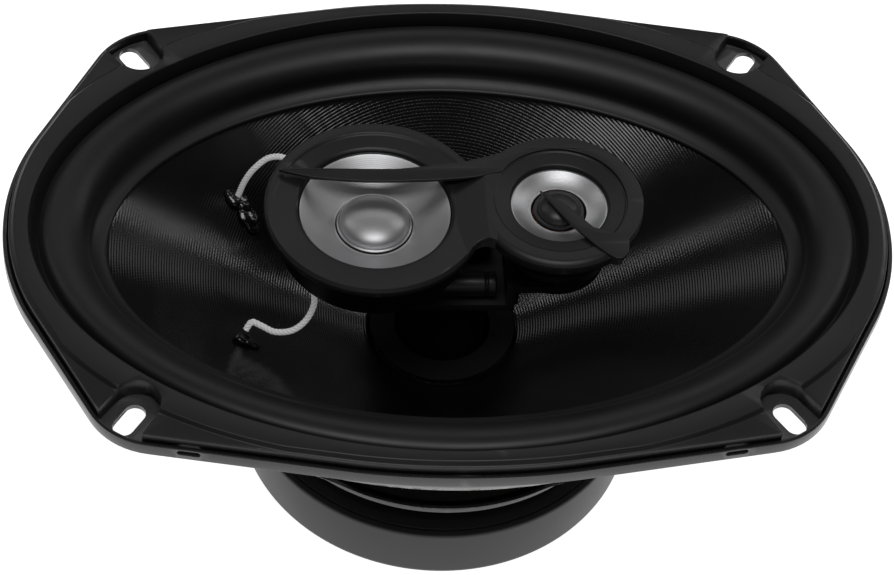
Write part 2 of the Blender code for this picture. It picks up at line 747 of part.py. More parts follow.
def build_tweeter(plastic, silver, steel, ferrite, copper, silk):
    at = (TWEETER_X, 0.0)
    housing = [
        (14.0, 12.0),
        (20.2, 12.0),
        (20.2, 10.8),
        (18.5, 10.8),
        (18.5, 5.0),
        (12.4, 5.0),
        (12.4, 6.2),
        (17.2, 6.2),
        (17.2, 10.8),
        (14.0, 10.8),
    ]
    turned("tweeter_housing", housing, plastic, at)
    flare = [(7.4, 10.9), (12.4, 12.9), (17.0, 12.9), (17.0, 12.3), (12.6, 12.3), (7.4, 10.3)]
    turned("tweeter_flare", flare, silver, at)
    pot = [(1.9, -3.4), (8, -3.4), (8, 9.6), (12, 9.6), (12, -4.8), (1.9, -4.8)]
    turned("tweeter_pot", pot, steel, at, MID_STEPS)
    turned("tweeter_magnet", disc(5.4, 6.4, -3.1), ferrite, at, SMALL_STEPS)
    turned("tweeter_pole_cap", disc(5.8, 9.6, 6.7), steel, at, SMALL_STEPS)
    turned("tweeter_voice_coil", tube(6.3, 6.9, 10.5, 5.5), copper, at, MID_STEPS)
    turned("tweeter_dome", dome_profile(6.8, 10.9, 15.4, 0.4), silk, at, MID_STEPS)
    screw = [(0, -3.5), (1.5, -3.5), (1.5, -7.8), (3.0, -7.8), (3.0, -9.1), (0, -9.1)]
    turned("tweeter_screw", screw, steel, at, SCREW_STEPS)


def build_capacitors(sleeve):
    """Two crossover capacitors that lie on the bracket, either side of the bolt."""
    for name, y in [("tweeter_capacitor", -8.8), ("mid_capacitor", 8.8)]:
        mesh = bpy.data.meshes.new(name)
        work = bmesh.new()
        bmesh.ops.create_cone(
            work, cap_ends=True, segments=16, radius1=3.3 * MM, radius2=3.3 * MM, depth=16 * MM
        )
        work.to_mesh(mesh)
        work.free()
        mesh.transform(Matrix.Rotation(math.pi / 2, 4, "Y"))
        mesh.transform(Matrix.Translation((4.5 * MM, y * MM, -8.8 * MM)))
        smooth(mesh)
        add_piece(name, mesh, sleeve)


# ---- terminals and leads ----


def build_terminals(board_finish, tin, steel):
    board = flat_mesh("terminal_board", box_outline(-70, -54.6, -13, 13), BOARD_Z, BOARD_Z + 1.6)
    piece = add_piece("terminal_board", board, board_finish)
    tab_low = BOARD_Z + 1.6 + GAP
    for name, side, width in [("positive_tab", 1, 6.3), ("negative_tab", -1, 4.8)]:
        middle = side * TAB_Y
        hole = flat_mesh(name + "_hole", round_outline(1.7, (TAB_X, middle), 8), -53, -45)
        cutter = add_cutter(name + "_hole", hole)
        outline = box_outline(-78, -57, middle - width / 2, middle + width / 2)
        tab = add_piece(name, flat_mesh(name, outline, tab_low, tab_low + 0.8), tin)
        combine(piece, cutter, "DIFFERENCE")
        combine(tab, cutter, "DIFFERENCE")
        head = tab_low + 0.8 + GAP
        foot = SHELF_Z - SHEET - GAP
        rivet = [
            (0, head + 0.8),
            (2.3, head + 0.6),
            (2.3, head),
            (1.3, head),
            (1.3, foot),
            (2.2, foot),
            (2.2, foot - 0.8),
            (0, foot - 0.8),
        ]
        turned(name + "_rivet", rivet, steel, (TAB_X, middle), SCREW_STEPS)


def build_leads(braid, glue):
    """Braided leads: two from the terminals to the cone, and two from the cone to the pod."""
    back = [(-38.9, 19.0, 0.5), (-43.0, 24.0, 3.8), (-47.6, 26.2, 2.2)]
    back += [(-51.7, 25.4, -1.2), (-54.3, 25.2, -6.2), (-56.0, 25.6, -12.6)]
    front = [(-36.6, -13.4, -5.6), (-35.3, -16.2, -8.6), (-37.0, -18.0, -11.4)]
    front += [(-40.4, -19.6, -13.4), (-45.3, -20.4, -14.6), (-49.4, -20.2, -15.2)]
    front += [(-51.3, -20.2, -16.0)]
    wire("pod_lead_back", back, 0.6, braid)
    wire("pod_lead_front", front, 0.6, braid)
    for name, side in [("input_lead_positive", 1), ("input_lead_negative", -1)]:
        knots = [(-57.6, 7.5, -45.9), (-62.0, 11.0, -40.0), (-63.5, 16.0, -31.0)]
        knots += [(-59.0, 20.5, -24.0), (-56.2, 22.3, -21.2)]
        wire(name, [(x, y * side, z) for x, y, z in knots], 0.6, braid)
    for name, x, y in [("lead_joint_back", -56.0, 26.2), ("lead_joint_front", -54.5, -20.6)]:
        add_joint_dab(name, x, y, glue)


def cone_height(x, y):
    """Height of the cone's top face at a plan point."""
    reach = math.hypot(x, y)
    c, s = x / reach, y / reach
    edge = 1 / math.sqrt((c / EDGE_A) ** 2 + (s / EDGE_B) ** 2)
    return NECK_Z + (EDGE_Z - NECK_Z) * (reach - NECK_R) / (edge - NECK_R)


def add_joint_dab(name, x, y, glue):
    """A dab of sealant over the lead's solder joint, lying along the cone."""
    mesh = bpy.data.meshes.new(name)
    work = bmesh.new()
    bmesh.ops.create_uvsphere(work, u_segments=12, v_segments=6, radius=1.0)
    work.to_mesh(mesh)
    work.free()
    step = 0.5
    slope_x = (cone_height(x + step, y) - cone_height(x - step, y)) / (2 * step)
    slope_y = (cone_height(x, y + step) - cone_height(x, y - step)) / (2 * step)
    mesh.transform(Matrix.Diagonal((2.8 * MM, 2.4 * MM, 1.0 * MM, 1.0)))
    mesh.transform(Matrix(((1, 0, 0, 0), (0, 1, 0, 0), (slope_x, slope_y, 1, 0), (0, 0, 0, 1))))
    mesh.transform(Matrix.Translation((x * MM, y * MM, (cone_height(x, y) + 1.5) * MM)))
    smooth(mesh)
    add_piece(name, mesh, glue)


def build_speaker():
    global part_pieces, part_cutters
    clear_scene()
    part_pieces = make_collection("coaxial_speaker")
    part_cutters = make_collection("cutters")
    paint = finish("black_paint", (0.02, 0.02, 0.022), 0.3, 0.2)
    plastic = finish("black_plastic", (0.018, 0.018, 0.02), 0.42)
    rubber = finish("black_rubber", (0.014, 0.014, 0.015), 0.6)
    film = finish("woven_black_cone", (0.02, 0.02, 0.023), 0.38)
    silver = finish("silver_film", (0.62, 0.63, 0.65), 0.32, 0.85)
    satin = finish("satin_metal", (0.5, 0.5, 0.52), 0.28, 0.9)
    steel = finish("zinc_steel", (0.5, 0.5, 0.48), 0.35, 1.0)
    ferrite = finish("ferrite", (0.05, 0.05, 0.055), 0.55)
    foil = finish("former_foil", (0.72, 0.72, 0.74), 0.3, 1.0)
    copper = finish("copper_winding", (0.6, 0.27, 0.12), 0.35, 1.0)
    cloth = finish("spider_cloth", (0.5, 0.32, 0.1), 0.85)
    felt = finish("collar_felt", (0.012, 0.012, 0.013), 0.9)
    silk = finish("dark_dome", (0.05, 0.05, 0.055), 0.35, 0.3)
    braid = finish("silver_braid", (0.7, 0.7, 0.7), 0.4, 0.7)
    glue = finish("black_sealant", (0.008, 0.008, 0.009), 0.15)
    fibre = finish("fibre_board", (0.2, 0.09, 0.03), 0.7)
    tin = finish("tinned_brass", (0.66, 0.62, 0.5), 0.3, 1.0)
    build_basket(paint)
    build_gasket(plastic)
    build_surround(rubber)
    build_cone(film)
    build_spider(cloth)
    build_motor(steel, ferrite, rubber, foil, copper, felt)
    build_post(plastic, steel)
    build_frame_rivets(steel)
    build_bracket(plastic)
    build_bezel(plastic)
    build_trim(plastic)
    build_mid(plastic, silver, steel, ferrite, copper, rubber, satin)
    build_tweeter(plastic, silver, steel, ferrite, copper, silk)
    build_capacitors(plastic)
    build_terminals(fibre, tin, steel)
    build_leads(braid, glue)


build_speaker()
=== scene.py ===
import json
import math

import bmesh
import bpy
import numpy as np
from mathutils import Matrix, Vector, noise
from mathutils.geometry import tessellate_polygon


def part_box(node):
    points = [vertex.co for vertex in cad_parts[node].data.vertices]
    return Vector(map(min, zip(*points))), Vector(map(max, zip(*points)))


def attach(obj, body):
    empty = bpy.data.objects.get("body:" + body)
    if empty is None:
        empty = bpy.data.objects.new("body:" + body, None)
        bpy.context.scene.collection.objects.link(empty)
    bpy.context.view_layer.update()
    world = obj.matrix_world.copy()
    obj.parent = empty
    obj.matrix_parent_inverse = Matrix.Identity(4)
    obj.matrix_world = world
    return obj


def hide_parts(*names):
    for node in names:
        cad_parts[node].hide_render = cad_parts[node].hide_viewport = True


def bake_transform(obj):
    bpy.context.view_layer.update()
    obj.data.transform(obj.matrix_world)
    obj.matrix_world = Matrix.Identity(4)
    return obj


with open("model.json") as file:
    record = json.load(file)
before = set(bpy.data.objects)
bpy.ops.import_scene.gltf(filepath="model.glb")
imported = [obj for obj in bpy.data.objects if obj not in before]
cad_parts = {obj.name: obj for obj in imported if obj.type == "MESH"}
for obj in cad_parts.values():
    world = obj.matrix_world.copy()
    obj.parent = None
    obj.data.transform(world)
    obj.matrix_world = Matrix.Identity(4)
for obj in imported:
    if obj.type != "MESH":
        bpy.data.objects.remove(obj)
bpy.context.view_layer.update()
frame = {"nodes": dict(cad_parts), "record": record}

# Lengths below are in millimetres, with heights from the underside of the mounting flange.
MM = 0.001
record_mounts = {m["name"]: m for m in frame["record"]["mounts"]}
LIFT = record_mounts["flange_underside"]["pos_m"][2] / MM


def axis_x(node):
    low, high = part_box(node)
    return (low.x + high.x) / 2 / MM


def top_of(node):
    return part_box(node)[1].z / MM - LIFT


def foot_of(node):
    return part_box(node)[0].z / MM - LIFT


def half_size(node, axis):
    low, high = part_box(node)
    return (high[axis] - low[axis]) / 2 / MM


RIM_A, RIM_B, RIM_POWER = half_size("basket", 0), half_size("basket", 1), 2.1
EAR_X, EAR_Y, EAR_R = 76.6, 51.7, 20.4
SLOT_X, SLOT_Y, SLOT_ANGLE = 84.5, 62.0, math.radians(56)
BAY_X, BAY_Y, BAY_R, SEAT_R = 82.7, 60.0, 6.4, 6.0
OPENING_A, OPENING_B = 107.0, 73.2
FOOT_A, FOOT_B = 108.8, 74.4
SHELF_R, SHELF_Z, SHEET, CUP_R = 52.5, -50.0, 1.2, 45.0
BASE_Z = foot_of("basket")
ROLL_WIDTH, ROLL_HEIGHT, RUBBER, FOOT_Z, INNER_FOOT_Z = 13.0, 5.0, 0.8, 1.5, -3.4
EDGE_A, EDGE_B, EDGE_Z = 92.1, 57.9, -5.4
NECK_R, NECK_Z = 19.6, -38.3
GROOVE_PITCH, GROOVE_DEPTH = 0.7, 0.1
BOOT_R = half_size("magnet_boot", 0)
BOOT_TOP, BOOT_BOTTOM = top_of("magnet_boot"), foot_of("magnet_boot")
MID_X, TWEETER_X = axis_x("mid_cone"), axis_x("tweeter_dome")
MID_R = half_size("mid_cone", 0)
MID_RING_Z, TWEETER_RING_Z = 13.2, top_of("pod_bezel")
MID_RING_R, TWEETER_RING_R = 29.4, 22.3
TAB_X, TAB_Y = axis_x("positive_tab_rivet"), 7.5
STRANDS, STRAND_R, STRAND_OFFSET, STRAND_LAY, STRAND_STEPS = 4, 0.46, 0.42, 4.4, 10
SIDE_SILL, SIDE_TOP, END_SILL, END_TOP = 28, 37, 26, 36
RAMP_START, RAMP_DROP, RAMP_SLOPE, WAIST_FILLET = 21.2, 0.9, 0.36, 4.0
TRIM_SKIN, TRIM_X, TRIM_SPAN = 1.0, -45.0, 73.0
TRIM_RISE_LEFT, TRIM_RISE_RIGHT = 1.5, 0.4
DOME_DROP = 1.2

CLOUD_SCALE, ROUGHNESS_SPREAD = 45.0, 0.06
UPRIGHT = Matrix.Rotation(math.pi / 2, 4, "X")
OVAL_STEPS = 384
ROUND_STEPS = 160
SMALL_STEPS = 64
CORNER_BENDS, DOME_BENDS = 3, 24
CORNERS = [(1, 1), (-1, 1), (-1, -1), (1, -1)]


# ---- materials ----


def node(tree, kind, inputs=None, **settings):
    made = tree.nodes.new(kind)
    for key, value in settings.items():
        setattr(made, key, value)
    for key, value in (inputs or {}).items():
        if isinstance(value, bpy.types.NodeSocket):
            tree.links.new(value, made.inputs[key])
        else:
            made.inputs[key].default_value = value
    return made


def math_node(tree, operation, a, b=0.0):
    return node(tree, "ShaderNodeMath", {0: a, 1: b}, operation=operation).outputs[0]


def mixed_colour(tree, share, low, high):
    inputs = {0: share, 6: low, 7: high}
    return node(tree, "ShaderNodeMix", inputs, data_type="RGBA").outputs[2]


def remapped(tree, value, low, high, to_low, to_high):
    inputs = {0: value, 1: low, 2: high, 3: to_low, 4: to_high}
    return node(tree, "ShaderNodeMapRange", inputs).outputs[0]


def noise_node(tree, place, scale, detail, rough=0.5):
    inputs = {"Vector": place, "Scale": scale, "Detail": detail, "Roughness": rough}
    return node(tree, "ShaderNodeTexNoise", inputs).outputs[0]


def bump_node(tree, height, distance, strength, **after):
    inputs = {"Height": height, "Distance": distance * MM, "Strength": strength, **after}
    return node(tree, "ShaderNodeBump", inputs)


def radial_wave(tree, place, centre, pitch):
    """Fine turned lines about a vertical axis."""
    moved = node(
        tree, "ShaderNodeVectorMath", {0: place, 1: (centre * MM, 0.0, 0.0)},
        operation="SUBTRACT",
    ).outputs[0]
    split = node(tree, "ShaderNodeSeparateXYZ", {0: moved})
    squares = [math_node(tree, "MULTIPLY", split.outputs[i], split.outputs[i]) for i in (0, 1)]
    reach = math_node(tree, "SQRT", math_node(tree, "ADD", *squares))
    return math_node(tree, "SINE", math_node(tree, "MULTIPLY", reach, 2 * math.pi / (pitch * MM)))


def axis_wave(tree, place, axis, pitch):
    split = node(tree, "ShaderNodeSeparateXYZ", {0: place})
    turn = math_node(tree, "MULTIPLY", split.outputs[axis], 2 * math.pi / (pitch * MM))
    return math_node(tree, "SINE", turn)


def weave(tree, place, pitch):
    across = axis_wave(tree, place, 0, pitch)
    along = axis_wave(tree, place, 1, pitch)
    return math_node(tree, "MULTIPLY", across, along)


def finish(name, colour, rough, metallic=0.0, grain=0.25, depth=0.02, spread=0.2, **extra):
    """A finish with cloudy colour and roughness, a fine grain and lighter, worn edges.

    grain is the grain's size and depth its height, in millimetres.
    """
    made = bpy.data.materials.new(name)
    made.use_nodes = True
    tree = made.node_tree
    shader = tree.nodes["Principled BSDF"]
    place = node(tree, "ShaderNodeTexCoord").outputs["Object"]
    cloud = noise_node(tree, place, CLOUD_SCALE, 5.0, 0.6)
    fine = noise_node(tree, place, 1.0 / (grain * MM), 3.0)
    low = tuple(c * (1 - spread) for c in colour)
    high = tuple(min(1.0, c * (1 + spread)) for c in colour)
    shade = mixed_colour(tree, cloud, (*low, 1.0), (*high, 1.0))
    if "wear" in extra:
        point = node(tree, "ShaderNodeNewGeometry").outputs["Pointiness"]
        edge = remapped(tree, point, 0.52, 0.62, 0.0, extra["wear"])
        worn = tuple(min(1.0, c + 0.12) for c in colour)
        shade = mixed_colour(tree, edge, shade, (*worn, 1.0))
    if "specks" in extra:
        size, tint, share = extra["specks"]
        inputs = {"Vector": place, "Scale": 1.0 / (size * MM)}
        cell = node(tree, "ShaderNodeTexVoronoi", inputs).outputs["Distance"]
        spot = remapped(tree, cell, share, share * 0.6, 0.0, 1.0)
        shade = mixed_colour(tree, spot, shade, (*tint, 1.0))
    tree.links.new(shade, shader.inputs["Base Color"])
    mixed = math_node(tree, "ADD", math_node(tree, "MULTIPLY", fine, 0.4), cloud)
    roughness = remapped(
        tree, mixed, 0.4, 1.0, max(0.02, rough - ROUGHNESS_SPREAD), rough + ROUGHNESS_SPREAD
    )
    tree.links.new(roughness, shader.inputs["Roughness"])
    shader.inputs["Metallic"].default_value = metallic
    for key, label, plain in [
        ("coat", "Coat Weight", 0.0), ("coat_rough", "Coat Roughness", 0.1),
        ("sheen", "Sheen Weight", 0.0), ("specular", "Specular IOR Level", 0.5),
    ]:
        shader.inputs[label].default_value = extra.get(key, plain)
    # Painted light: the emission makes the finish glow brighter than the lamps light it.
    if "glow" in extra:
        tree.links.new(shade, shader.inputs["Emission Color"])
        shader.inputs["Emission Strength"].default_value = extra["glow"]
    bump = bump_node(tree, fine, depth, 0.6)
    for wave, height in extra.get("waves", ()):
        bump = bump_node(tree, wave(tree, place), height, 1.0, Normal=bump.outputs[0])
    tree.links.new(bump.outputs[0], shader.inputs["Normal"])
    return made


def cloth_lines(pitch):
    return lambda tree, place: weave(tree, place, pitch)


def turned_lines(centre, pitch):
    return lambda tree, place: radial_wave(tree, place, centre, pitch)


PAINT = finish(
    "frame_paint", (0.009, 0.009, 0.01), 0.28, 0.0, 0.9, 0.02, coat=0.1, coat_rough=0.15, wear=0.5
)
PLASTIC = finish(
    "trim_plastic", (0.005, 0.005, 0.0055), 0.45, 0.0, 0.22, 0.012, specular=0.25, wear=0.1
)
POD_PLASTIC = finish("pod_plastic", (0.012, 0.012, 0.013), 0.42, 0.0, 0.25, 0.01, wear=0.4)
GASKET = finish("gasket_plastic", (0.012, 0.012, 0.0125), 0.4, 0.0, 0.3, 0.02, wear=0.3)
RUBBER_LOOK = finish("surround_rubber", (0.007, 0.007, 0.0075), 0.42, 0.0, 0.16, 0.014, sheen=0.05)
BOOT_LOOK = finish(
    "boot_rubber", (0.03, 0.03, 0.031), 0.42, 0.0, 0.35, 0.02, specular=0.3, sheen=0.05, wear=0.3
)
CONE_FILM = finish(
    "cone_film", (0.004, 0.004, 0.0045), 0.15, 0.0, 0.5, 0.006, waves=[(cloth_lines(1.0), 0.003)],
)
SILVER = finish(
    "silver_film", (0.62, 0.62, 0.63), 0.44, 0.85, 0.3, 0.004, spread=0.05,
    waves=[(turned_lines(MID_X, 0.45), 0.004)],
)
FLARE_LOOK = finish(
    "flare_metal", (0.6, 0.6, 0.61), 0.4, 0.9, 0.3, 0.003, spread=0.05,
    waves=[(turned_lines(TWEETER_X, 0.35), 0.003)],
)
DOME_METAL = finish(
    "satin_metal", (0.55, 0.55, 0.56), 0.42, 0.9, 0.15, 0.003, spread=0.06,
    waves=[(turned_lines(MID_X, 0.3), 0.002)],
)
SILK = finish(
    "dome_silk", (0.045, 0.045, 0.048), 0.34, 0.3, 0.2, 0.006, waves=[(cloth_lines(0.45), 0.006)],
)
STEEL = finish("plated_steel", (0.55, 0.55, 0.53), 0.34, 1.0, 0.4, 0.006, spread=0.1, wear=0.3)
DARK_STEEL = finish("black_steel", (0.05, 0.05, 0.052), 0.4, 0.6, 0.4, 0.012, wear=0.4)
FERRITE = finish(
    "ferrite", (0.045, 0.045, 0.05), 0.6, 0.1, 0.5, 0.03, specks=(0.9, (0.1, 0.1, 0.11), 0.3)
)
FOIL = finish("coil_foil", (0.7, 0.7, 0.72), 0.28, 1.0, 0.5, 0.005, spread=0.08)
COPPER = finish(
    "copper", (0.62, 0.27, 0.11), 0.3, 1.0, 0.4, 0.004,
    waves=[(lambda tree, place: axis_wave(tree, place, 2, 0.25), 0.05)],
)
# Painted shade: the mid voice coil is near black so the gap round the mid dome reads as a dark
# ring.
COIL_GAP_SHADE = finish("coil_gap_shade", (0.03, 0.012, 0.006), 0.35, 0.3, 0.4, 0.01)
CLOTH = finish(
    "spider_cloth", (0.03, 0.027, 0.024), 0.85, 0.0, 0.4, 0.05, sheen=0.3,
    waves=[(cloth_lines(0.8), 0.1)],
)
FELT = finish("felt", (0.004, 0.004, 0.0045), 0.8, 0.0, 0.25, 0.12, specular=0.2)
# The braid's weak emission is painted light that makes the leads look brightly lit.
BRAID = finish(
    "braid", (0.95, 0.95, 0.94), 0.5, 0.1, 0.12, 0.05, spread=0.12, glow=0.16,
    waves=[(cloth_lines(0.35), 0.03)],
)
SEALANT = finish(
    "sealant", (0.006, 0.006, 0.007), 0.2, 0.0, 1.4, 0.05, coat=0.5, coat_rough=0.1,
    specks=(1.8, (0.2, 0.2, 0.2), 0.1),
)
BOARD = finish(
    "fibre_board", (0.17, 0.07, 0.025), 0.62, 0.0, 0.6, 0.03, specks=(0.7, (0.28, 0.14, 0.06), 0.25)
)
TIN = finish("tinned_brass", (0.68, 0.63, 0.5), 0.28, 1.0, 0.5, 0.006, spread=0.12, wear=0.3)
SLEEVE = finish("capacitor_sleeve", (0.008, 0.009, 0.011), 0.45, 0.0, 0.5, 0.01, coat=0.05)


# ---- mesh building ----


def to_mesh(name, points, faces):
    mesh = bpy.data.meshes.new(name)
    place = np.asarray(points, float).copy()
    place[:, 2] += LIFT
    mesh.from_pydata((place * MM).tolist(), [], faces)
    work = bmesh.new()
    work.from_mesh(mesh)
    bmesh.ops.recalc_face_normals(work, faces=work.faces)
    work.to_mesh(mesh)
    work.free()
    return mesh


def show(name, mesh, look, body="frame_body", node_name=None, angle=32):
    """Put a finished mesh in the scene, riding on its body and standing for its CAD node."""
    mesh.shade_smooth()
    mesh.set_sharp_from_angle(angle=math.radians(angle))
    mesh.materials.clear()
    mesh.materials.append(look)
    made = bpy.data.objects.new(name, mesh)
    bpy.context.scene.collection.objects.link(made)
    if body is not None:
        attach(made, body)
    if node_name is not None:
        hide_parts(node_name)
    # The CAD's materials hold the slots' plain names, so Blender numbers these.
    return made


def cross_blend(made):
    """Bake a piece's placement into its mesh."""
    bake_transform(made)


def section(profile, setback=0.0):
    """Arrays of (radius, z) for a section, with its corners rounded by the setback."""
    pairs = [np.broadcast_arrays(np.atleast_1d(p[0]), np.atleast_1d(p[1])) for p in profile]
    corners = [np.array(pair, float) for pair in pairs]
    width = max(c.shape[1] for c in corners)
    corners = [np.broadcast_to(c, (2, width)) for c in corners]
    closed = corners[0][0].max() > 1e-6
    count = len(corners)
    out = []
    for i, here in enumerate(corners):
        own = profile[i][2] if len(profile[i]) > 2 else setback
        if own <= 0 or (not closed and i in (0, count - 1)):
            out.append(here)
            continue
        back, ahead = corners[i - 1] - here, corners[(i + 1) % count] - here
        back_len = np.maximum(np.hypot(*back), 1e-9)
        ahead_len = np.maximum(np.hypot(*ahead), 1e-9)
        straight = ((back * ahead).sum(axis=0) / back_len / ahead_len).mean()
        if straight < -0.96:
            out.append(here)
            continue
        cut = np.minimum(own, 0.45 * np.minimum(back_len, ahead_len))
        start, stop = here + back / back_len * cut, here + ahead / ahead_len * cut
        for s in np.linspace(0, 1, CORNER_BENDS + 1):
            out.append((1 - s) ** 2 * start + 2 * s * (1 - s) * here + s**2 * stop)
    return out


def skin_points(rings, turn, at=(0.0, 0.0), closed=True):
    """Points and faces of a body made of rings; a ring of no radius is a single point."""
    steps = len(turn)
    points, faces, starts, poles = [], [], [], []
    total = 0
    for radius, z in rings:
        pole = float(np.max(radius)) < 1e-6
        starts.append(total)
        poles.append(pole)
        if pole:
            points.append([[at[0], at[1], float(np.mean(z))]])
            total += 1
            continue
        ring = np.empty((steps, 3))
        ring[:, 0] = at[0] + radius * np.cos(turn)
        ring[:, 1] = at[1] + radius * np.sin(turn)
        ring[:, 2] = z
        points.append(ring)
        total += steps
    k = np.arange(steps)
    after = (k + 1) % steps
    pairs = [(i, i + 1) for i in range(len(rings) - 1)]
    if closed:
        pairs.append((len(rings) - 1, 0))
    for i, j in pairs:
        a, b = starts[i], starts[j]
        if poles[i] and poles[j]:
            continue
        if poles[i]:
            faces += np.stack([np.full(steps, a), b + k, b + after], 1).tolist()
        elif poles[j]:
            faces += np.stack([a + k, np.full(steps, b), a + after], 1).tolist()
        else:
            faces += np.stack([a + k, b + k, b + after, a + after], 1).tolist()
    return np.concatenate(points), faces


def tube_faces(base, count, rings):
    """Faces of a capped tube made of rings that follow each other."""
    j = np.arange(count)
    k = (j + 1) % count
    last = base + (rings - 1) * count
    faces = [(base + j).tolist(), (last + j[::-1]).tolist()]
    for a in range(base, last, count):
        faces += np.stack([a + j, a + k, a + count + k, a + count + j], 1).tolist()
    return faces


def round_turn(steps):
    return np.linspace(0, 2 * math.pi, steps, endpoint=False)


def turned_mesh(name, profile, x=0.0, setback=0.0, steps=ROUND_STEPS, y=0.0):
    rings = section(profile, setback)
    closed = float(rings[0][0].max()) > 1e-6
    return to_mesh(name, *skin_points(rings, round_turn(steps), (x, y), closed))


def oval_turn():
    t = round_turn(OVAL_STEPS)
    return np.arctan2(RIM_B / RIM_A * np.sin(t), np.cos(t))


def oval(a, b, power=1.95):
    """Plan radius of a superellipse in each direction."""
    angle = oval_turn()
    x = np.abs(np.cos(angle) / a) ** power
    y = np.abs(np.sin(angle) / b) ** power
    return (x + y) ** (-1 / power)


def circle(radius):
    return np.full(OVAL_STEPS, float(radius))


def ear_outline(inset):
    """Plan radius of the frame's edge, moved in by inset: the hull of the rim and the ears."""
    facing = np.linspace(0, 2 * math.pi, 2880, endpoint=False)
    c, s = np.abs(np.cos(facing)), np.abs(np.sin(facing))
    dual = RIM_POWER / (RIM_POWER - 1)
    rim = ((RIM_A * c) ** dual + (RIM_B * s) ** dual) ** (1 / dual)
    ears = EAR_X * c + EAR_Y * s + EAR_R
    reach = np.maximum(rim, ears) - inset
    across = np.cos(oval_turn()[:, None] - facing[None, :])
    limits = np.where(across > 0.1, reach[None, :] / np.maximum(across, 0.1), np.inf)
    return limits.min(axis=1)


def loft_mesh(name, profile):
    return to_mesh(name, *skin_points(section(profile), oval_turn()))


def arc(centre, radius, start, end, count):
    """Points on an arc, with angles in degrees."""
    turns = [math.radians(start + (end - start) * i / count) for i in range(count + 1)]
    return [(centre[0] + radius * math.cos(t), centre[1] + radius * math.sin(t)) for t in turns]


def disc(centre, radius, count):
    return arc(centre, radius, 0, 360, count)[:-1]


def stadium(length, width, at, angle, count=12):
    half = (length - width) / 2
    ends = arc((half, 0), width / 2, -90, 90, count) + arc((-half, 0), width / 2, 90, 270, count)
    c, s = math.cos(angle), math.sin(angle)
    return [(at[0] + x * c - y * s, at[1] + x * s + y * c) for x, y in ends]


def box_outline(x_low, x_high, y_low, y_high):
    return [(x_low, y_low), (x_high, y_low), (x_high, y_high), (x_low, y_high)]


def slab(name, outline, low, high, place=None, edge=0.0, bends=3, split_caps=False):
    """A flat solid with a closed plan outline and rounded top and bottom edges."""
    flat = np.array(outline, float)
    if np.sum(flat[:, 0] * np.roll(flat[:, 1], -1) - np.roll(flat[:, 0], -1) * flat[:, 1]) < 0:
        flat = flat[::-1]
    before, after = flat - np.roll(flat, 1, 0), np.roll(flat, -1, 0) - flat
    before /= np.maximum(np.linalg.norm(before, axis=1, keepdims=True), 1e-9)
    after /= np.maximum(np.linalg.norm(after, axis=1, keepdims=True), 1e-9)
    inward = np.stack([-(before[:, 1] + after[:, 1]), before[:, 0] + after[:, 0]], 1)
    inward /= np.maximum((inward**2).sum(1, keepdims=True) / 2, 0.7)
    levels = [(0.0, low), (0.0, high)]
    if edge > 0:
        quarter = [math.pi / 2 * i / bends for i in range(bends + 1)]
        levels = [(edge * (1 - math.sin(q)), low + edge * (1 - math.cos(q))) for q in quarter]
        levels += [(edge * (1 - math.cos(q)), high - edge * (1 - math.sin(q))) for q in quarter]
    count = len(flat)
    points = np.concatenate(
        [np.column_stack([flat + inward * d, np.full(count, z)]) for d, z in levels]
    )
    k = np.arange(count)
    after = (k + 1) % count
    faces = []
    for i in range(len(levels) - 1):
        a, b = i * count, (i + 1) * count
        faces += np.stack([a + k, a + after, b + after, b + k], 1).tolist()
    caps = [k.tolist()]
    if split_caps:
        caps = tessellate_polygon([[Vector((x, y, 0.0)) for x, y in flat]])
    head = (len(levels) - 1) * count
    for cap in caps:
        faces.append(list(cap)[::-1])
        faces.append([head + i for i in cap])
    mesh = to_mesh(name, points, faces)
    if place is not None:
        lift = Matrix.Translation((0, 0, LIFT * MM))
        mesh.transform(lift @ place @ lift.inverted())
    return mesh


def joined(meshes):
    """One mesh that holds several separate bodies."""
    work = bmesh.new()
    for mesh in meshes:
        work.from_mesh(mesh)
    made = bpy.data.meshes.new(meshes[0].name)
    work.to_mesh(made)
    work.free()
    return made


def baked(mesh, steps):
    """The mesh after its modifiers, each given as (kind, settings)."""
    holder = bpy.data.objects.new("holder", mesh)
    bpy.context.scene.collection.objects.link(holder)
    for kind, settings in steps:
        step = holder.modifiers.new(kind, kind)
        for key, value in settings.items():
            setattr(step, key, value)
    graph = bpy.context.evaluated_depsgraph_get()
    made = bpy.data.meshes.new_from_object(holder.evaluated_get(graph))
    bpy.data.objects.remove(holder)
    return made


def combined(mesh, other, operation):
    tool = bpy.data.objects.new("tool", other)
    bpy.context.scene.collection.objects.link(tool)
    settings = {"operation": operation, "solver": "EXACT", "object": tool}
    made = baked(mesh, [("BOOLEAN", settings)])
    bpy.data.objects.remove(tool)
    return made


def softened(mesh, width, angle=40, segments=2):
    settings = {
        "width": width * MM, "segments": segments, "limit_method": "ANGLE",
        "angle_limit": math.radians(angle), "use_clamp_overlap": True, "harden_normals": False,
    }
    return baked(mesh, [("BEVEL", settings)])


def smooth_path(knots, per_span):
    """A curve that runs smoothly through the knots."""
    ends = [np.array(k, float) for k in [knots[0], *knots, knots[-1]]]
    path = []
    for before, start, stop, after in zip(ends, ends[1:], ends[2:], ends[3:]):
        for j in range(per_span):
            t = j / per_span
            path.append(
                0.5
                * (
                    2 * start
                    + (stop - before) * t
                    + (2 * before - 5 * start + 4 * stop - after) * t**2
                    + (3 * start - before - 3 * stop + after) * t**3
                )
            )
    path.append(ends[-1])
    return np.array(path)


# ---- frame, gasket, surround and cone ----


